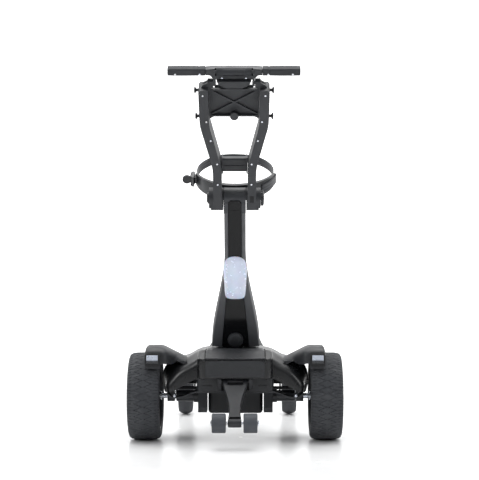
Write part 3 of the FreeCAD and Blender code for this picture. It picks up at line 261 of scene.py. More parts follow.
class Nodes:
    """A small helper that adds shader nodes and joins them."""

    def __init__(self, name):
        self.material = bpy.data.materials.new(name)
        self.material.use_nodes = True
        self.tree = self.material.node_tree
        self.shader = self.tree.nodes["Principled BSDF"]
        self.place = self.add("ShaderNodeTexCoord").outputs["Object"]

    def add(self, kind, **settings):
        made = self.tree.nodes.new(kind)
        for key, value in settings.items():
            if key in made.inputs:
                self.put(value, made.inputs[key])
            else:
                setattr(made, key, value)
        return made

    def put(self, value, socket):
        if isinstance(value, bpy.types.NodeSocket):
            self.tree.links.new(value, socket)
        else:
            socket.default_value = value

    def noise(self, scale, detail=3.0, rough=0.55, place=None):
        return self.add("ShaderNodeTexNoise", Vector=place or self.place, Scale=scale, Detail=detail,
                        Roughness=rough).outputs["Fac"]

    def spread(self, value, low, high, from_low=0.3, from_high=0.7):
        made = self.add("ShaderNodeMapRange")
        self.put(value, made.inputs["Value"])
        self.put(from_low, made.inputs["From Min"])
        self.put(from_high, made.inputs["From Max"])
        self.put(low, made.inputs["To Min"])
        self.put(high, made.inputs["To Max"])
        return made.outputs["Result"]

    def math(self, operation, a, b=0.0):
        made = self.add("ShaderNodeMath", operation=operation)
        self.put(a, made.inputs[0])
        self.put(b, made.inputs[1])
        return made.outputs[0]

    def blend(self, share, a, b):
        made = self.add("ShaderNodeMix", data_type="RGBA")
        self.put(share, made.inputs["Factor"])
        for socket in made.inputs:
            if socket.type == "RGBA" and socket.name in "AB":
                self.put(a if socket.name == "A" else b, socket)
        return next(s for s in made.outputs if s.type == "RGBA")

    def edges(self, radius):
        """1 on edges that hands and grass have rubbed, 0 on flat faces."""
        bevel = self.add("ShaderNodeBevel", samples=4)
        self.put(radius * MM, bevel.inputs["Radius"])
        true = self.add("ShaderNodeNewGeometry").outputs["Normal"]
        dot = self.add("ShaderNodeVectorMath", operation="DOT_PRODUCT")
        self.put(bevel.outputs["Normal"], dot.inputs[0])
        self.put(true, dot.inputs[1])
        bent = self.math("SUBTRACT", 1.0, dot.outputs["Value"])
        patchy = self.spread(self.noise(180, 4), 0.2, 1.0, 0.35, 0.65)
        strong = self.spread(bent, 0, 1, 0.01, 0.12)
        return self.math("MULTIPLY", strong, patchy)

    def bump(self, height, strength, distance, normal=None):
        made = self.add("ShaderNodeBump", Strength=strength, Distance=distance * MM, Height=height)
        if normal is not None:
            self.put(normal, made.inputs["Normal"])
        return made.outputs["Normal"]

    def finish(self, **inputs):
        for key, value in inputs.items():
            self.put(value, self.shader.inputs[key.replace("_", " ")])
        return self.material


def grey(level, tint=(0.92, 1.0, 1.17)):
    return (level * tint[0], level * tint[1], level * tint[2], 1)


def moulded(name, level, rough, grain=2200, depth=0.03, wear=0.5, coat=0.0):
    """Moulded plastic: fine spark-eroded grain, uneven sheen, rubbed edges and a trace of dust."""
    n = Nodes(name)
    tone_share = n.noise(9, 4)
    colour = n.blend(n.spread(tone_share, 0, 1), grey(level * 0.86), grey(level * 1.14))
    worn = n.math("MULTIPLY", n.edges(0.9), wear)
    colour = n.blend(worn, colour, grey(level * 3.2 + 0.03))
    fine = n.noise(grain, 2, 0.7)
    uneven = n.spread(n.noise(38, 5), rough - 0.06, rough + 0.07)
    sheen = n.math("ADD", uneven, n.math("MULTIPLY", worn, 0.12))
    return n.finish(Base_Color=colour, Roughness=sheen, Normal=n.bump(fine, 0.5, depth), Coat_Weight=coat,
                    Coat_Roughness=0.12)


def gloss(name, level, rough, mirror=0.22):
    """Polished plastic: near mirror, with faint moulding waves and hairline scratches."""
    n = Nodes(name)
    stretch = n.add("ShaderNodeMapping", Vector=n.place)
    stretch.inputs["Scale"].default_value = (900, 900, 25)
    scratch = n.spread(n.noise(1, 2, 0.5, stretch.outputs[0]), 0, 1, 0.62, 0.72)
    uneven = n.spread(n.noise(30, 3), rough * 0.8, rough * 1.5)
    shine = n.math("ADD", uneven, n.math("MULTIPLY", scratch, 0.08))
    normal = n.bump(n.noise(14, 2), 0.25, 0.6)
    colour = n.blend(n.edges(0.7), grey(level), grey(level * 3 + 0.02))
    return n.finish(Base_Color=colour, Roughness=shine, Normal=normal, Specular_IOR_Level=mirror)


def speckled(name, level):
    """The tail panel: coarse leather-like cells with lighter crests."""
    n = Nodes(name)
    cells = n.add("ShaderNodeTexVoronoi", Vector=n.place, Scale=620.0, Randomness=1.0).outputs["Distance"]
    grit = n.noise(1500, 3, 0.7)
    height = n.math("ADD", cells, n.math("MULTIPLY", grit, 0.5))
    colour = n.blend(n.spread(height, 0, 1, 0.3, 1.0), grey(level * 1.9), grey(level * 0.55))
    normal = n.bump(height, 0.9, 0.25)
    return n.finish(Base_Color=colour, Roughness=n.spread(grit, 0.38, 0.62), Normal=normal)


def rubber(name, level, dusty=0.35, ribs=0.0):
    """Rubber: matte, slightly blotched, with pale dust held in its pores and along worn edges."""
    n = Nodes(name)
    pores = n.noise(1300, 4, 0.75)
    dust = n.math("MULTIPLY", n.spread(n.noise(22, 5, 0.65), 0, 1, 0.45, 0.75), dusty)
    colour = n.blend(dust, grey(level), grey(level * 2.4 + 0.02, (0.97, 1.0, 1.05)))
    colour = n.blend(n.math("MULTIPLY", n.edges(0.8), 0.5), colour, grey(level * 2.6 + 0.02))
    height = pores
    if ribs:
        wave = n.add("ShaderNodeTexWave", Vector=n.place, Scale=ribs, bands_direction="X")
        height = n.math("ADD", n.math("MULTIPLY", wave.outputs["Fac"], 2.0), pores)
    return n.finish(Base_Color=colour, Roughness=n.spread(pores, 0.62, 0.86),
                    Normal=n.bump(height, 0.5, 0.08))


def steel(name, level, rough, along=(30, 1400, 1400)):
    """Turned or drawn steel: brushed along one way, with darker stains."""
    n = Nodes(name)
    stretch = n.add("ShaderNodeMapping", Vector=n.place)
    stretch.inputs["Scale"].default_value = along
    brushed = n.noise(1, 3, 0.6, stretch.outputs[0])
    colour = n.blend(n.spread(n.noise(60, 4), 0, 1), grey(level), grey(level * 0.72, (1.02, 1, 0.97)))
    return n.finish(Base_Color=colour, Metallic=1.0, Roughness=n.spread(brushed, rough * 0.7, rough * 1.4),
                    Normal=n.bump(brushed, 0.3, 0.02))


def coated(name, level, rough):
    """Powder-coated metal: fine orange peel, with bare metal showing through on worn edges."""
    n = Nodes(name)
    peel = n.noise(700, 2, 0.5)
    worn = n.spread(n.edges(0.7), 0, 1, 0.35, 0.8)
    colour = n.blend(n.spread(n.noise(12, 4), 0, 1), grey(level * 0.85), grey(level * 1.2))
    colour = n.blend(n.math("MULTIPLY", worn, 0.5), colour, grey(0.35))
    return n.finish(Base_Color=colour, Metallic=n.math("MULTIPLY", worn, 0.8),
                    Roughness=n.spread(n.noise(50, 4), rough - 0.07, rough + 0.08),
                    Normal=n.bump(peel, 0.4, 0.05))


def frosted_lens():
    """Milky clear plastic that spreads the light of the strip behind it."""
    n = Nodes("frosted_lens")
    tone_share = n.noise(40, 3)
    colour = n.blend(n.spread(tone_share, 0, 1), (0.6, 0.66, 0.78, 1), (0.7, 0.75, 0.86, 1))
    return n.finish(Base_Color=colour, Roughness=n.spread(n.noise(120, 3), 0.16, 0.3), IOR=1.46,
                    Transmission_Weight=0.35, Subsurface_Weight=0.5, Subsurface_Scale=0.004,
                    Emission_Color=(0.8, 0.87, 1.0, 1), Emission_Strength=0.12, Coat_Weight=0.5,
                    Coat_Roughness=0.08, Normal=n.bump(n.noise(900, 2), 0.15, 0.02))


def smoky_lens_painted_highlight():
    """The sensor's window: a metallic-looking dark plastic, with a painted highlight that makes its upper part
    pale.
    """
    n = Nodes("smoky_lens_painted_highlight")
    across = n.add("ShaderNodeTexCoord").outputs["Generated"]
    height = n.add("ShaderNodeSeparateXYZ", Vector=across).outputs["Z"]
    tone_share = n.math("ADD", height, n.spread(n.noise(25, 3), -0.03, 0.03))
    # painted highlight: the colour runs from near black low on the window to pale grey high on it
    colour = n.blend(n.spread(tone_share, 0, 1, 0.3, 0.5), grey(0.03), grey(0.55))
    return n.finish(Base_Color=colour, Roughness=n.spread(n.noise(60, 2), 0.22, 0.3), Metallic=0.3,
                    Coat_Weight=0.7, Coat_Roughness=0.06, Normal=n.bump(n.noise(90, 2), 0.1, 0.02))


def emitter():
    n = Nodes("emitter")
    glow = n.spread(n.noise(400, 2), 1.2, 1.7)
    return n.finish(Base_Color=(0.95, 0.97, 1, 1), Emission_Color=(0.9, 0.94, 1, 1), Emission_Strength=glow,
                    Roughness=0.3)


def laminate(name, colour_a, colour_b):
    """Circuit board: solder mask over a faint woven core with copper tracks under it."""
    n = Nodes(name)
    tracks = n.add("ShaderNodeTexBrick", Vector=n.place, Scale=180.0).outputs["Fac"]
    colour = n.blend(tracks, colour_a, colour_b)
    return n.finish(Base_Color=colour, Roughness=n.spread(n.noise(500, 3), 0.25, 0.42),
                    Normal=n.bump(tracks, 0.4, 0.05))


def webbing(name, level):
    """Woven strap: a basket weave from two crossed waves and fuzz, coloured by its height: painted highlight on
    the yarn crests and painted shade in the hollows.
    """
    n = Nodes(name)
    round_loop = n.add("ShaderNodeTexCoord").outputs["UV"]
    lengthwise = n.add("ShaderNodeTexWave", Vector=round_loop, Scale=60.0, bands_direction="X")
    crosswise = n.add("ShaderNodeTexWave", Vector=round_loop, Scale=5.5, bands_direction="Y")
    weave = n.math("MULTIPLY", lengthwise.outputs["Fac"], crosswise.outputs["Fac"])
    fuzz = n.noise(2600, 3, 0.7)
    height = n.math("ADD", weave, n.math("MULTIPLY", fuzz, 0.35))
    # painted light and shade: the colour is lighter where the weave and its fuzz stand high and darker in the
    # hollows
    colour = n.blend(n.spread(height, 0, 1, 0.15, 1.1), grey(level * 0.5), grey(level * 1.7))
    return n.finish(Base_Color=colour, Roughness=0.85, Sheen_Weight=0.3, Sheen_Roughness=0.5,
                    Normal=n.bump(height, 0.8, 0.25))


LOOKS = {
    "shell_gloss": moulded("shell_gloss", 0.006, 0.3, 1500, 0.015, 0.2, 0.08),
    "body_plastic": moulded("body_plastic", 0.017, 0.46),
    "mast_plastic": moulded("mast_plastic", 0.03, 0.5, 1900, 0.035, 0.45),
    "frame_plastic": moulded("frame_plastic", 0.023, 0.52, 1700, 0.045, 0.6),
    "channel_gloss": gloss("channel_gloss", 0.004, 0.12),
    "panel_texture": speckled("panel_texture", 0.018),
    "tyre_tread": rubber("tyre_tread", 0.03, 0.5),
    "rim_plastic": moulded("rim_plastic", 0.018, 0.4),
    "soft_rubber": rubber("soft_rubber", 0.022, 0.2),
    "seal_rubber": rubber("seal_rubber", 0.006, 0.1),
    "roller_plastic": moulded("roller_plastic", 0.055, 0.6, 1300, 0.06, 0.8),
    "painted_frame": coated("painted_frame", 0.02, 0.42),
    "drive_metal": coated("drive_metal", 0.026, 0.45),
    "bright_steel": steel("bright_steel", 0.72, 0.22),
    "status_lens": frosted_lens(),
    "sensor_lens": smoky_lens_painted_highlight(),
    "battery_case": moulded("battery_case", 0.028, 0.55),
    "circuit_board": laminate("circuit_board", (0.01, 0.09, 0.035, 1), (0.03, 0.2, 0.08, 1)),
    "light_board": laminate("light_board", (0.82, 0.82, 0.8, 1), (0.7, 0.7, 0.68, 1)),
    "strap_webbing": webbing("strap_webbing", 0.03),
}


def dress_cad_nodes():
    """Gives every CAD node its slot's material, welds its split corners and rounds its sharp edges."""
    slots = {part["node"]: part["material_slot"] for part in frame["record"]["subparts"]}
    slim = {"chassis_fasteners": 0.4, "frame_fasteners": 0.5, "status_board": 0.15, "control_board": 0.2,
            "thumb_dial": 0.35, "elbow_knob": 0.5, "frame_panel": 0.6}
    for name, thing in NODES.items():
        thing.data.materials.clear()
        thing.data.materials.append(LOOKS["seal_rubber" if name == "sensor_bezels" else slots[name]])
        if "custom_normal" in thing.data.attributes:
            thing.data.attributes.remove(thing.data.attributes["custom_normal"])
        thing.data.shade_smooth()
        weld = thing.modifiers.new("weld", "WELD")
        weld.merge_threshold = 0.00001
        flat = thing.modifiers.new("flat", "DECIMATE")
        flat.decimate_type = "DISSOLVE"
        flat.angle_limit = math.radians(0.6)
        round_edges(thing, slim.get(name, 0.9))
    into_upper = UPPER.inverted()
    second_look("frame_fasteners", "bright_steel", lambda at: (into_upper @ at).y < -20)
    pins = (Vector(JOINTS["mast_fold"]["pos_m"]), Vector(JOINTS["stabiliser_fold"]["pos_m"]))
    second_look("chassis_fasteners", "painted_frame",
                lambda at: any((at - pin).yz.length < 9 * MM for pin in pins))


def second_look(name, look, chosen):
    """Gives another material to the faces of a CAD node whose middles are chosen."""
    thing = NODES[name]
    thing.data.materials.append(LOOKS[look])
    for face in thing.data.polygons:
        if chosen(thing.matrix_world @ face.center):
            face.material_index = 1


# ---------------------------------------------------------------- pieces on the chassis

DECK, RECESS, WING_LOW, WALL = 244, 222, 134, 3
WING_REAR, WING_FRONT, REAR_ROUND = -86, 150, 18
HATCH_SIDE, TAIL_REAR, TAIL_SIDE, TAIL_ROUND, TAIL_LOW = 79.6, -115, 100, 22, 174
MAIN_WING = [(HATCH_SIDE, 243.4), (93, 241), (105, 236.6), (117, 229.8), (129, 223.5), (152, 217),
             (172, 211), (187, 200), (194, 182), (195, 157), (190, WING_LOW)]
REAR_WING = [(HATCH_SIDE, 240), (90, 234), (98, 226), (108, 217.5), (120, 209.5), (140, 199), (157, 187),
             (171, 172), (181, 158), (185, 146), (184, WING_LOW)]


def hatch_top(y):
    """The height of the sloping tail of the hatch and of the shoulders beside it."""
    return min(246, RECESS + 4 + max(y + 111.5, 0) / 45.5 * 19)


def wing_line(y):
    """The shell's right outline at a place along Y, from the hatch's side down to the wing's foot."""
    share = smooth_step((y - WING_REAR) / 70)
    narrow = 1 - 0.38 * max((y - 80) / 70, 0) ** 2
    lower = 1 - 0.5 * max((y - 118) / 32, 0) ** 2
    ends = [(mix(a[0], b[0], share), mix(a[1], b[1], share)) for a, b in zip(REAR_WING, MAIN_WING)]
    return [Vector((p.x * narrow, WING_LOW + (p.y - WING_LOW) * lower)) for p in curve_through(ends)]


def moved_in(line, distance):
    """An open line moved to its inner side, which is down and towards the middle."""
    moved = []
    for index, point in enumerate(line):
        before, after = line[max(index - 1, 0)], line[min(index + 1, len(line) - 1)]
        way = (after - before).normalized()
        moved.append(point + Vector((way.y, -way.x)) * distance)
    for point in moved:
        point.x = max(point.x, line[0].x)
        point.y = max(point.y, WING_LOW)
    return moved


def wing_ring(y, inset=0.0, forward=0.0):
    """A closed ring round the wing's wall: its outer line, and an inner one moved in and forward."""
    outer = moved_in(wing_line(y), inset) if inset else wing_line(y)
    inner = moved_in(outer, math.sqrt(WALL ** 2 - forward ** 2))
    return [(p.x, y, p.y) for p in outer] + [(p.x, y + forward, p.y) for p in inner[::-1]]


def wing_foot_ring():
    """The lower edge of the wing's rear wall, which rises towards the tail."""
    line = []
    for point in moved_in(wing_line(WING_REAR), REAR_ROUND):
        edge = mix(170, 143, max(point.x - 104, 0) / 50)
        line.append((point.x, max(min(edge, point.y - 1), WING_LOW)))
    return [(x, WING_REAR, z) for x, z in line] + [(x, WING_REAR + WALL, z) for x, z in line[::-1]]


def wings():
    """The two wings: thin walls from beside the hatch down to their feet, closed and rounded behind."""
    rings = [wing_foot_ring()]
    for step in range(9):
        angle = math.radians(90 / 8 * step)
        y = WING_REAR + REAR_ROUND * (1 - math.cos(angle))
        rings.append(wing_ring(y, REAR_ROUND * (1 - math.sin(angle)), WALL * math.cos(angle)))
    for y in (-58, -48, -38, -28, -18, -8, 8, 22, 36, 50, 64, 78, 88, 98, 108, 118, 124, 130, 136, 141, 146,
              WING_FRONT):
        rings.append(wing_ring(y))
    vertices, faces = loft(rings, caps=False)
    count = len(rings[0])
    for first in (0, len(vertices) - count):
        faces += [(first + i, first + i + 1, first + count - 2 - i, first + count - 1 - i)
                  for i in range(count // 2 - 1)]
    return both_sides((vertices, faces))


def deck():
    """The top of the shell in front of the hatch, the floor under the hatch, and the front wall."""
    rings = []
    for y in (-5, 8, 22, 36, 50, 64, 78, 88, 98, 108, 118, 124, 130, 136, 141, 146, WING_FRONT):
        edge = wing_line(y)[0]
        middle = WING_LOW + (DECK - WING_LOW) * (edge.y - WING_LOW) / (MAIN_WING[0][1] - WING_LOW)
        bend = edge.x * 0.62
        top = [(-edge.x, edge.y), (-bend, middle), (0, middle), (bend, middle), (edge.x, edge.y)]
        rings.append([(x, y, z) for x, z in top] + [(x, y, z - WALL) for x, z in top[::-1]])
    floor = slab(rectangle(-80, 80, -112, -4), RECESS - WALL, RECESS)
    wall = slab(rectangle(-80, 80, RECESS, DECK - 1.2), -2 - WALL, -2, "XZ")
    front = wing_line(WING_FRONT)
    corner = front[0]
    ends = slab([(corner.x - 1, WING_LOW)] + front, WING_FRONT - WALL, WING_FRONT, "XZ")
    bulkhead = slab(rectangle(-corner.x, corner.x, WING_LOW, corner.y), WING_FRONT - WALL, WING_FRONT, "XZ")
    return joined(loft(rings), floor, wall, both_sides(ends), bulkhead)


def tail_half_width(y, radius=TAIL_ROUND):
    back = max(TAIL_REAR + radius - y, 0)
    return TAIL_SIDE - radius + math.sqrt(max(radius * radius - back * back, 0))


def tail_cheeks():
    """The two round-cornered flanks of the tail, which rise forward beside the hatch as its shoulders."""
    rings = []
    for y in (-114.9, -114.2, -112.8, -110.5, -107.5, -104, -100, -96, -92, -86, -80, -74, -68, -60, -50):
        wide = tail_half_width(y) - 77
        top = hatch_top(y) - 0.6
        soft = min(9, 3 + 0.3 * (top - RECESS))
        shoulder = top - 0.2 * (top - RECESS)
        section = rounded([(0, TAIL_LOW, 1), (wide, TAIL_LOW, 3), (wide, shoulder, soft + 4),
                           (max(wide * 0.55, 2.8), top, soft), (2.6, top, 0.8), (2.6, RECESS, 0.5),
                           (0, RECESS, 0.2)], 4)
        rings.append([(77 + x, y, z) for x, z in section])
    return both_sides(loft(rings))


def tail_middle():
    """The tail's back wall between its flanks, with a shallow bay for the blank panel."""
    rings = []
    for z, sunk in ((TAIL_LOW, 1.2), (TAIL_LOW + 0.8, 0.2), (TAIL_LOW + 2, 0), (TAIL_LOW + 2, 2.2),
                    (RECESS - 2, 2.2), (RECESS - 2, 0), (RECESS - 0.8, 0.2), (RECESS, 1.2)):
        rings.append([(-78, TAIL_REAR + sunk, z), (78, TAIL_REAR + sunk, z), (78, -100, z), (-78, -100, z)])
    return loft(rings)


def upper_shell():
    skin = joined(wings(), deck(), tail_cheeks(), tail_middle())
    piece("shell", skin, ROW, "chassis", LOOKS["shell_gloss"], ["upper_shell"], sharp=40)


POD_REAR, POD_INNER, ARM_FRONT, TYRE_CLEARANCE = -96, 196, 32, 7.5
ARM_TOP = [(238, 249), (236, 253), (231, 255), (215, 255), (200, 255), (190, 252), (178, 246), (165, 239.5),
           (150, 232), (138, 226), (129, 222)]


def arm_top(x):
    for (x0, z0), (x1, z1) in zip(ARM_TOP, ARM_TOP[1:]):
        if x >= x1:
            return mix(z0, z1, (x0 - x) / (x0 - x1))
    return ARM_TOP[-1][1]


def arm_ring(x, inset):
    """A section of the sensor arm: over the tyre it hugs the wheel, beside it the arm is a slim blade."""
    over_wheel = x > POD_INNER + 0.5
    rear = POD_REAR + 1 if x > 188 else mix(-62, POD_REAR + 1, smooth_step((x - 152) / 36))
    front = ARM_FRONT
    top = arm_top(x) - inset
    keep_off = WHEEL_RADIUS + TYRE_CLEARANCE
    sag = mix(216, 208, smooth_step((x - 150) / 20)) if x < 172 else mix(208, 212, (x - 172) / 24)
    outline = [(rear + inset, top - 18), (rear + inset + 3, top - 11), (rear + 14, top - 4.5),
               (rear + 30, top - 0.5), (rear + 46, top), (front - 30, top), (front - 10, top - 1.5),
               (front - inset, top - 6)]
    lower = []
    for step in range(10):
        y = mix(front - inset - 0.5, rear + inset + 0.5, step / 9)
        if over_wheel:
            z = WHEEL_RADIUS + math.sqrt(max(keep_off ** 2 - y * y, 0)) + inset
        else:
            z = sag + inset
        lower.append((y, min(z, top - 7)))
    return [(x, y, z) for y, z in outline + lower]


def sensor_arms():
    rings = [arm_ring(238, 3.5), arm_ring(237.4, 1.8), arm_ring(235.8, 0.6), arm_ring(233, 0)]
    rings += [arm_ring(x, 0) for x in (226, 218, 210, 203, 198, POD_INNER + 0.6, POD_INNER + 0.4, 192, 186,
                                       180, 174, 168, 162, 156, 150, 143, 136, 129)]
    skin = both_sides(loft(rings))
    piece("sensor_wings", skin, ROW, "chassis", LOOKS["body_plastic"], ["sensor_arms"], sharp=38)


# ---------------------------------------------------------------- rear tyres

def tread_profile():
    """(place across the tyre, radius, share of the zigzag) from bead to bead."""
    bead = 88.5
    crown = [(39, bead, 0), (41.5, bead + 1, 0), (42.8, 95, 0), (43, 101, 0), (42.6, 105.5, 0),
             (40.6, 110.5, 0), (37, 113.6, 0), (31, 115.4, 0.0), (25, 116.2, 0.35)]
    left = [(-x, r, share) for x, r, share in crown]
    middle = []
    for centre in (-13, 13):
        middle += [(centre - 1.5, 116.8, 1), (centre - 1.0, 113.9, 1), (centre + 1.0, 113.9, 1),
                   (centre + 1.5, 116.8, 1)]
    middle.insert(4, (0, WHEEL_RADIUS, 0))
    inside = [(-37, 85.5, 0), (37, 85.5, 0)]
    return left + middle + crown[::-1] + inside[::-1]


def rear_tyre(side, sign):
    """A wide low-profile tyre with two zigzag grooves round its crown and notched shoulders."""
    teeth, swing = 42, 10.5
    profile = tread_profile()
    fractions = (0, 0.07, 0.25, 0.43, 0.5, 0.57, 0.75, 0.93)
    rings = []
    for tooth in range(teeth):
        for fraction in fractions:
            angle = 2 * math.pi * (tooth + fraction) / teeth
            zigzag = (abs(fraction - 0.5) * 4 - 1) * swing
            notch = 1 if fraction in (0, 0.5) else 0
            ring = []
            for x, radius, share in profile:
                flip = 1 if x < 0 else -1
                across = x + zigzag * share * flip
                if notch and 28 < abs(x) < 42.7 and radius > 104:
                    radius -= 2.2
                y, z = radius * math.cos(angle), radius * math.sin(angle)
                ring.append((WHEEL.x / MM + across, y, WHEEL_RADIUS + z))
            rings.append(ring)
    skin = loft(rings, looped=True)
    skin = skin if sign > 0 else mirrored(skin)
    piece("tread_" + side, skin, ROW, "wheel_" + side, LOOKS["tyre_tread"], ["tyre_" + side], sharp=50)


# ---------------------------------------------------------------- mast

MAST_FRONT, MAST_REAR, MAST_TOP, MAST_HALF, BUTTON_HEIGHT = 8, -50, 430, 28, 60


def mast_half(z):
    return MAST_HALF + 38 * smooth_step(1 - z / 300)


def mast_rear(z):
    return MAST_REAR - 38 * max(1 - z / 310, 0)


def groove_half(half):
    """Half the width of the channel down the mast's rear face."""
    return 0.53 * half + 2.4


def foot(y):
    """The mast's own height of a level cut just above the deck."""
    return (-8 - y * -UP.y) / UP.z


def mast_corners(z):
    half, rear = mast_half(z), mast_rear(z)
    lip = groove_half(half)
    flat = lip + 1.6
    bevel = 0.2 * half + 6
    right = [(lip, rear + 6, 0.3), (lip, rear, 0.7), (flat, rear, 2.2), (half, rear + bevel, 4),
             (half, MAST_FRONT - 9, 4), (half - 7, MAST_FRONT, 4)]
    return [(-x, y, r) for x, y, r in right] + [(x, y, r) for x, y, r in reversed(right)]


def mast_rings():
    rings = []
    count = 44
    for step in range(count + 1):
        share = step / count
        middle = mix(foot(-40), MAST_TOP, share)
        ring = []
        for x, y in rounded(mast_corners(middle), 3):
            z = mix(foot(y), MAST_TOP, share)
            ring.append((x * mast_half(z) / mast_half(middle), y, z))
        rings.append(ring)
    return rings


def button_room(radius):
    """The round room in the mast's face for the release button."""
    return slab(circle(radius, 0, BUTTON_HEIGHT), -4, 16, "XZ")


def mast():
    look = LOOKS["mast_plastic"]
    spine = piece("mast_body", loft(mast_rings()), MAST, "mast", look, ["mast_spine"])
    hinge_room = slab(rectangle(-10, 40, -60, 13), -90, 90, "YZ")
    cut(spine, hinge_room, MAST)
    cut(spine, button_room(22), FACE)
    shade(spine.data, 30)
    eye = lathe([(-20.4, 4.1), (20.4, 4.1), (20.4, 9.5), (19.4, 10.5), (-19.4, 10.5), (-20.4, 9.5)], 48)
    neck = slab([(-10, 18), (-9.6, 3), (9, 5), (8, 18)], -20, 20, "YZ", 1)
    piece("mast_knuckle", joined(eye, neck), MAST, "mast", look)


def mast_channel():
    """The gloss strip in the mast's groove. It stops in a chamfered end inside the mast's head."""
    rings = []
    for step in range(41):
        share = step / 40
        section = []
        z_mid = mix(foot(-80), MAST_TOP + 8, share)
        half = groove_half(mast_half(z_mid)) - 0.6
        rear = mast_rear(z_mid) + 2.6
        for x, y in ((-half, rear + 3), (-half, rear + 0.6), (-half + 0.8, rear), (0, rear - 0.5),
                     (half - 0.8, rear), (half, rear + 0.6), (half, rear + 3)):
            section.append((x, y, mix(foot(y), MAST_TOP + 8, share)))
        rings.append(section)
    look = LOOKS["channel_gloss"]
    strip = piece("channel_strip", loft(rings), MAST, "mast", look, ["mast_channel"], sharp=25)
    cut(strip, button_room(21.8), FACE)
    half = groove_half(MAST_HALF) - 0.6
    outline = [(-half, MAST_TOP), (half, MAST_TOP), (half, 459), (11, 464.5), (-11, 464.5), (-half, 459)]
    piece("channel_end", slab(outline, -47.2, -44.4, "XZ", 0.4), MAST, "mast", look)


def lens_outline():
    """A long drop: round top, sides that draw in a little, and a shallow rounded foot."""
    right = [(0, 181.5), (13, 182), (21.5, 185), (26, 192), (27.6, 204), (29, 225), (30.3, 250),
             (30.6, 268), (28.6, 283), (23, 295), (13.5, 302), (0, 304.2)]
    line = curve_through(right, 4)
    return line + [Vector((-p.x, p.y)) for p in line[-2:0:-1]]


def lens_ring(outline, share, level):
    """The lens's outline drawn in towards its heart to a share of its size, at a level out of the face."""
    heart = Vector((0, 246))
    return [raised(heart + (point - heart) * share, level, "XZ") for point in outline]


def status_lens():
    """A hollow milky dome: an outer skin, an inner one, and the rim between them on the channel."""
    outline = lens_outline()
    count = len(outline)
    rim = tuple(range(count))
    outer = [lens_ring(outline, 1, 1.5), lens_ring(outline, 1, -1.5)]
    for share in (0.985, 0.95, 0.88, 0.78, 0.64, 0.48, 0.32, 0.16, 0.04):
        outer.append(lens_ring(outline, share, -1.5 - 8.6 * (1 - share ** 3.2) ** 0.6))
    inner = []
    for share in (0.04, 0.3, 0.6, 0.8, 0.9):
        inner.append(lens_ring(outline, share, 0.4 - 8.0 * (1 - (share / 0.92) ** 4) ** 0.6))
    inner.append(lens_ring(outline, 0.92, 1.5))
    vertices, faces = loft(outer, caps=False)
    faces.append(tuple(len(vertices) - count + index for index in rim))
    inner_skin = loft(inner, caps=False)
    inner_skin[1].append(rim)
    vertices, faces = joined((vertices, faces), inner_skin)
    last = len(vertices) - count
    faces += [(i, (i + 1) % count, last + (i + 1) % count, last + i) for i in rim]
    piece("lens_dome", (vertices, faces), FACE, "mast", LOOKS["status_lens"], ["status_lens"], sharp=60)
    dots = [slab(circle(3.6, 0, 199 + 18 * index, 24), -2.6, -0.6, "XZ", 0.8) for index in range(5)]
    piece("lens_lights", joined(*dots), FACE, "mast", emitter())


def release_tab():
    """The round thumb button with its raised middle."""
    disc = slab(circle(21, 0, BUTTON_HEIGHT, 64), -5.4, 2.6, "XZ", 1.6)
    middle = slab(circle(15.5, 0, BUTTON_HEIGHT, 64), -6.2, -4, "XZ", 0.7)
    piece("thumb_button", joined(disc, middle), FACE, "fold_release", LOOKS["frame_plastic"],
          ["fold_release_button"])


# ---------------------------------------------------------------- cradle, strap and handle

LOOP_CENTRE, LOOP_RADIUS, LOOP_LEVEL = 120, 108, 457
CRADLE_HIGH, STRAP_OUTSIDE, STRAP_INSIDE, STRAP_HIGH = 22, 2.0, -6.8, 12
STRAP_START, STRAP_TIP, STRAP_END = 40, 78.6, 295


def on_loop(angle, outward):
    """A point round the bag loop. Angles are in degrees from the mast, right side positive."""
    radius, turn = LOOP_RADIUS + outward, math.radians(angle)
    return Vector((radius * math.sin(turn), LOOP_CENTRE - radius * math.cos(turn)))


def arc_rings(start, end, steps, section):
    """Sweeps a section of (outward, up) points round the loop. It may change with the share of the way."""
    rings = []
    for step in range(steps + 1):
        angle = mix(start, end, step / steps)
        rings.append([raised(on_loop(angle, outward), LOOP_LEVEL + up, "XY")
                      for outward, up in section(step / steps)])
    return rings


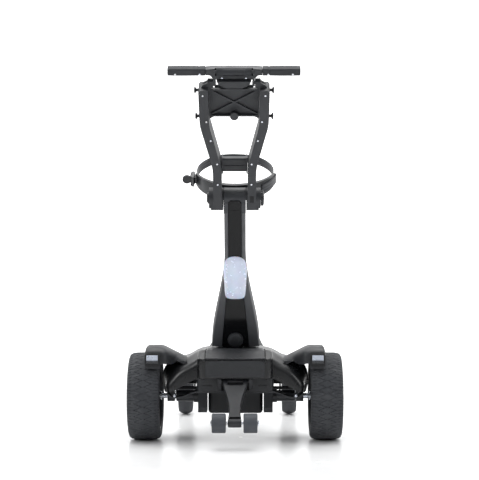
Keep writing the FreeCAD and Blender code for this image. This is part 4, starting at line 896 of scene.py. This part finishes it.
def bag_cradle():
    """The C-shaped arms: a band with flanges on its inner side, on a boss against the mast."""
    def band(share):
        tip = abs(share - 0.5) * 2
        tall = mix(CRADLE_HIGH, CRADLE_HIGH - 5, tip ** 3)
        reach = mix(13, 6, tip)
        upper = [(0, tall, 1.5), (-reach, tall, 1), (-reach, tall - 2.8, 0.8), (-4.4, tall - 3.4, 1.5)]
        return rounded(upper + [(out, -up, size) for out, up, size in upper[::-1]], 3)

    def rib(share):
        return [(-2, -17), (-7, -17), (-7, 17), (-2, 17)]
    skin = loft(arc_rings(-76, 76, 60, band))
    boss = slab(rounded([(-28.6, 8.6, 2), (28.6, 8.6, 2), (28.6, 17, 3), (22, 20, 2), (-22, 20, 2),
                         (-28.6, 17, 3)], 3), LOOP_LEVEL - 21, LOOP_LEVEL + 17, "XY", 1.5)
    ribs = [loft(arc_rings(angle - 0.8, angle + 0.8, 1, rib)) for angle in (-56, -42, -28, 28, 42, 56)]
    hook = rounded([(37, LOOP_LEVEL - 19, 1), (41.5, LOOP_LEVEL - 19, 1), (41.5, LOOP_LEVEL - 28, 4),
                    (37, LOOP_LEVEL - 37, 4), (29, LOOP_LEVEL - 37, 1.5), (29, LOOP_LEVEL - 31, 1.5),
                    (32, LOOP_LEVEL - 31, 1), (33, LOOP_LEVEL - 34, 1), (37, LOOP_LEVEL - 33, 3),
                    (38, LOOP_LEVEL - 26, 2)], 3)
    hooks = both_sides(slab(hook, 71, 75, "YZ", 0.6))
    lug = slab(rounded([(-102, 84, 1), (-109, 84, 2), (-109, 103, 2), (-106, 103, 1), (-101, 92, 1)], 3),
               LOOP_LEVEL - 9, LOOP_LEVEL + 9, "XY", 0.8)
    arms = joined(skin, boss, hooks, lug, *ribs)
    piece("cradle_arms", arms, MAST, "mast", LOOKS["body_plastic"], ["bag_cradle"])


def strap_path():
    """The webbing's middle line: up the outside of the right arm, round its tip, then round the bag."""
    path = [on_loop(mix(STRAP_START, STRAP_TIP, step / 30), STRAP_OUTSIDE) for step in range(30)]
    fold = (STRAP_OUTSIDE - STRAP_INSIDE) / 2
    for step in range(13):
        turn = math.pi * step / 12
        past_tip = math.degrees(fold * math.sin(turn) / LOOP_RADIUS)
        path.append(on_loop(STRAP_TIP + past_tip, STRAP_OUTSIDE - fold + fold * math.cos(turn)))
    for step in range(1, 171):
        free = math.sin(math.pi * step / 170)
        wave = 0.7 * free * math.sin(step / 7)
        path.append(on_loop(mix(STRAP_TIP, STRAP_END, step / 170), STRAP_INSIDE + wave))
    return path


def bag_strap():
    """The webbing round the bag: a thin band with rolled edges that sags a little where it hangs free."""
    path = strap_path()
    fastened = 43
    outside = [(1.1, -STRAP_HIGH), (1.45, 0.8 - STRAP_HIGH), (1.2, 2 - STRAP_HIGH), (1.1, 0),
               (1.2, STRAP_HIGH - 2), (1.45, STRAP_HIGH - 0.8), (1.1, STRAP_HIGH)]
    section = outside + [(-out, up) for out, up in outside[::-1]]
    rings = []
    for index, here in enumerate(path):
        before, after = path[max(index - 1, 0)], path[min(index + 1, len(path) - 1)]
        way = (after - before).normalized()
        away = Vector((way.y, -way.x))
        share = max(index - fastened, 0) / (len(path) - fastened)
        lift = 1.2 * math.sin(share * 9 + 1) * math.sin(math.pi * share)
        rings.append([raised(here + away * out, LOOP_LEVEL + lift + up, "XY") for out, up in section])
    look = LOOKS["strap_webbing"]
    strap = piece("webbing_strap", loft(rings), MAST, "mast", look, ["bag_strap"], sharp=60)
    wrap_uv(strap, len(rings), len(section))


def wrap_uv(thing, rows, around):
    """UVs that run along the strap (U) and across it (V), so that its weave follows it."""
    mesh = thing.data
    layer = mesh.uv_layers.new(name="along")
    for loop in mesh.loops:
        row, index = divmod(loop.vertex_index, around)
        layer.data[loop.index].uv = (row / max(rows - 1, 1), index / around)


def grips():
    """The two flat-ended grips with a seam near their roots, and the small bright screws that hold them."""
    centre, inner, outer = 353, 70, 163
    seam = inner + 15
    stations = [(inner, -1.4), (inner + 0.6, -0.3), (inner + 2, 0), (seam, 0), (seam + 0.5, -0.9),
                (seam + 1.6, -0.9), (seam + 2.1, 0), (inner + 45, 0.3), (inner + 70, 0.3), (outer - 2, 0),
                (outer - 0.6, -0.3), (outer, -1.4)]
    rings = []
    for x, swell in stations:
        deep, tall = 13 + swell, 9 + swell
        corners = [(-deep, -tall, 5), (deep, -tall, 5), (deep, tall, 5), (-deep, tall, 5)]
        rings.append([(x, y, centre + z) for y, z in rounded(corners, 6)])
    piece("hand_grips", both_sides(loft(rings)), UPPER, "handle", LOOKS["soft_rubber"], ["grips"])
    screws = []
    for x, z in ((29.5, 338), (84, 348.5), (144, 348.5)):
        head = slab(circle(2.5, x, z, 24), -13.9, -12.4, "XZ", 0.4)
        screws.append(both_sides(head))
    piece("handle_screws", joined(*screws), UPPER, "handle", LOOKS["bright_steel"])


def clamp_window_painted_shade():
    """A thin near-black plate on the rear of the right elbow: painted shade for the small dark opening through
    which the clamp's spring is seen.
    """
    shade_plate_outline = rounded([(38.5, 2, 1.5), (49, 2, 1.5), (49, 21, 1.5), (38.5, 21, 1.5)], 3)
    # painted shade: a near-black plate laid on the surface in place of the shaded opening
    piece("clamp_window_painted_shade", slab(shade_plate_outline, -30.5, -29, "XZ", 0.3), UPPER, "upper_frame", LOOKS["seal_rubber"])


def stabiliser_arm():
    """The stabiliser's arm: a broad head on the hinge that waists in to the roller's barrel."""
    pivot = Vector(JOINTS["stabiliser_fold"]["pos_m"])
    roller = Vector(JOINTS["roller_spin_left"]["pos_m"])
    way = (roller - pivot) * Vector((0, 1, 1))
    length = way.length / MM
    along = way.normalized()
    where = space(pivot, -along)
    widths = [(7.4, 32.5), (2, 33.6), (-8, 33), (-20, 30.5), (-36, 26), (-54, 21), (-74, 17), (-94, 15),
              (-110, 15.2), (13 - length, 16.4)]
    rings = []
    for z, half in widths:
        thick = mix(6.4, 9.6, smooth_step((-z - 30) / 60))
        near_pivot = smooth_step((z + 12) / 18)
        corners = [(-half, -thick + 2 * near_pivot, 4), (half, -thick + 2 * near_pivot, 4),
                   (half, thick - 0.5 * near_pivot, 5), (-half, thick - 0.5 * near_pivot, 5)]
        rings.append([(x, y, z) for x, y in rounded(corners, 4)])
    look = LOOKS["body_plastic"]
    arm = piece("prop_body", loft(rings), where, "stabiliser", look, ["stabiliser_arm"])
    cut(arm, slab(rectangle(-20, 20, 157, 170.5), -140, -60, "XZ"), ROW)
    shade(arm.data, 35)
    barrel = lathe([(-17.4, 4.05), (17.4, 4.05), (17.4, 9), (16, 10.6), (12, 11.2), (-12, 11.2),
                    (-16, 10.6), (-17.4, 9)], 48, (0, 0, -length))
    piece("prop_barrel", barrel, where, "stabiliser", look)


# ---------------------------------------------------------------- stage

def stage():
    """A white sweep, soft light from both sides and above, and a long lens behind the trolley."""
    low, high = CAD_BOX
    middle_y = (low[1] + high[1]) / 2
    floor_rings = []
    for y, z in ((-9, 0), (0, 0), (3.2, 0), (3.8, 0.06), (4.3, 0.3), (4.6, 0.8), (4.7, 1.6), (4.7, 7)):
        floor_rings.append([(x, middle_y + y, z) for x in (-9, 9)])
    vertices, faces = loft(floor_rings, caps=False, closed=False)
    mesh = bpy.data.meshes.new("sweep")
    mesh.from_pydata(vertices, [], faces)
    mesh.shade_smooth()
    sweep = bpy.data.objects.new("sweep", mesh)
    bpy.context.scene.collection.objects.link(sweep)
    n = Nodes("white_sweep")
    tone = n.blend(n.spread(n.noise(2, 3), 0, 1), (0.93, 0.93, 0.93, 1), (0.95, 0.95, 0.95, 1))
    height = n.add("ShaderNodeSeparateXYZ", Vector=n.place).outputs["Z"]
    glow = n.spread(height, 0.0, 0.5, 0.0, 1.2)
    reach = n.add("ShaderNodeVectorMath", operation="LENGTH")
    n.put(n.place, reach.inputs[0])
    far_off = n.spread(reach.outputs["Value"], 0.0, 1.0, 1.5, 3.0)
    seen = n.math("MULTIPLY", far_off, n.add("ShaderNodeLightPath").outputs["Is Camera Ray"])
    glow = n.math("MAXIMUM", glow, seen)
    mesh.materials.append(n.finish(Base_Color=tone, Roughness=n.spread(n.noise(5, 3), 0.2, 0.28),
                                   Emission_Color=(1, 1, 1, 1), Emission_Strength=glow))
    bpy.context.scene.world = studio_world()
    soft_box("top", (0, 0.3, 3.4), (3.4, 3.4), 125)
    soft_box("key", (-2.4, -2.2, 2.2), (1.2, 1.6), 26)
    soft_box("fill", (2.6, -1.8, 1.5), (0.8, 1.8), 13)
    soft_box("left_rim", (-2.4, 1.4, 1.3), (0.6, 2.2), 26)
    soft_box("right_rim", (2.4, 1.4, 1.3), (0.6, 2.2), 26)
    camera_data = bpy.data.cameras.new("camera")
    camera_data.lens = 100
    camera_data.sensor_width = 36
    camera_data.shift_x = -0.0225
    camera_data.shift_y = 0.0131
    camera = bpy.data.objects.new("camera", camera_data)
    camera.location = (0.04, WHEEL.y - 3.6, 0.52)
    camera.rotation_euler = (math.radians(90), 0, 0)
    bpy.context.scene.collection.objects.link(camera)
    bpy.context.scene.camera = camera
    bpy.context.scene.view_settings.view_transform = "Standard"


def studio_world():
    """White to the camera. To the trolley it is a dim room with a bright ceiling and a pale wall ahead."""
    world = bpy.data.worlds.new("studio")
    world.use_nodes = True
    nodes, links = world.node_tree.nodes, world.node_tree.links
    way = nodes.new("ShaderNodeSeparateXYZ")
    links.new(nodes.new("ShaderNodeTexCoord").outputs["Generated"], way.inputs[0])
    ceiling = nodes.new("ShaderNodeMapRange")
    ceiling.interpolation_type = "SMOOTHSTEP"
    for socket, value in (("From Min", -0.1), ("From Max", 0.9), ("To Min", 0.12), ("To Max", 0.6)):
        ceiling.inputs[socket].default_value = value
    links.new(way.outputs["Z"], ceiling.inputs["Value"])
    ahead = nodes.new("ShaderNodeMapRange")
    ahead.interpolation_type = "SMOOTHSTEP"
    for socket, value in (("From Min", 0.1), ("From Max", 1.0), ("To Min", 0.0), ("To Max", 0.5)):
        ahead.inputs[socket].default_value = value
    links.new(way.outputs["Y"], ahead.inputs["Value"])
    total = nodes.new("ShaderNodeMath")
    links.new(ceiling.outputs["Result"], total.inputs[0])
    links.new(ahead.outputs["Result"], total.inputs[1])
    seen = nodes.new("ShaderNodeMath")
    seen.operation = "MAXIMUM"
    links.new(total.outputs[0], seen.inputs[0])
    links.new(nodes.new("ShaderNodeLightPath").outputs["Is Camera Ray"], seen.inputs[1])
    links.new(seen.outputs[0], nodes["Background"].inputs["Strength"])
    nodes["Background"].inputs["Color"].default_value = (0.97, 0.985, 1, 1)
    return world


def soft_box(name, place, size, power):
    light = bpy.data.lights.new(name, "AREA")
    light.shape = "RECTANGLE"
    light.size, light.size_y = size
    light.energy = power
    lamp = bpy.data.objects.new(name, light)
    lamp.location = place
    aim = Vector((0, 0, 0.4)) - Vector(place)
    lamp.rotation_euler = aim.to_track_quat("-Z", "Y").to_euler()
    bpy.context.scene.collection.objects.link(lamp)


def build():
    dress_cad_nodes()
    upper_shell()
    sensor_arms()
    rear_tyre("left", -1)
    rear_tyre("right", 1)
    mast()
    mast_channel()
    status_lens()
    release_tab()
    bag_cradle()
    bag_strap()
    grips()
    clamp_window_painted_shade()
    stabiliser_arm()
    stage()


build()
bpy.context.view_layer.update()
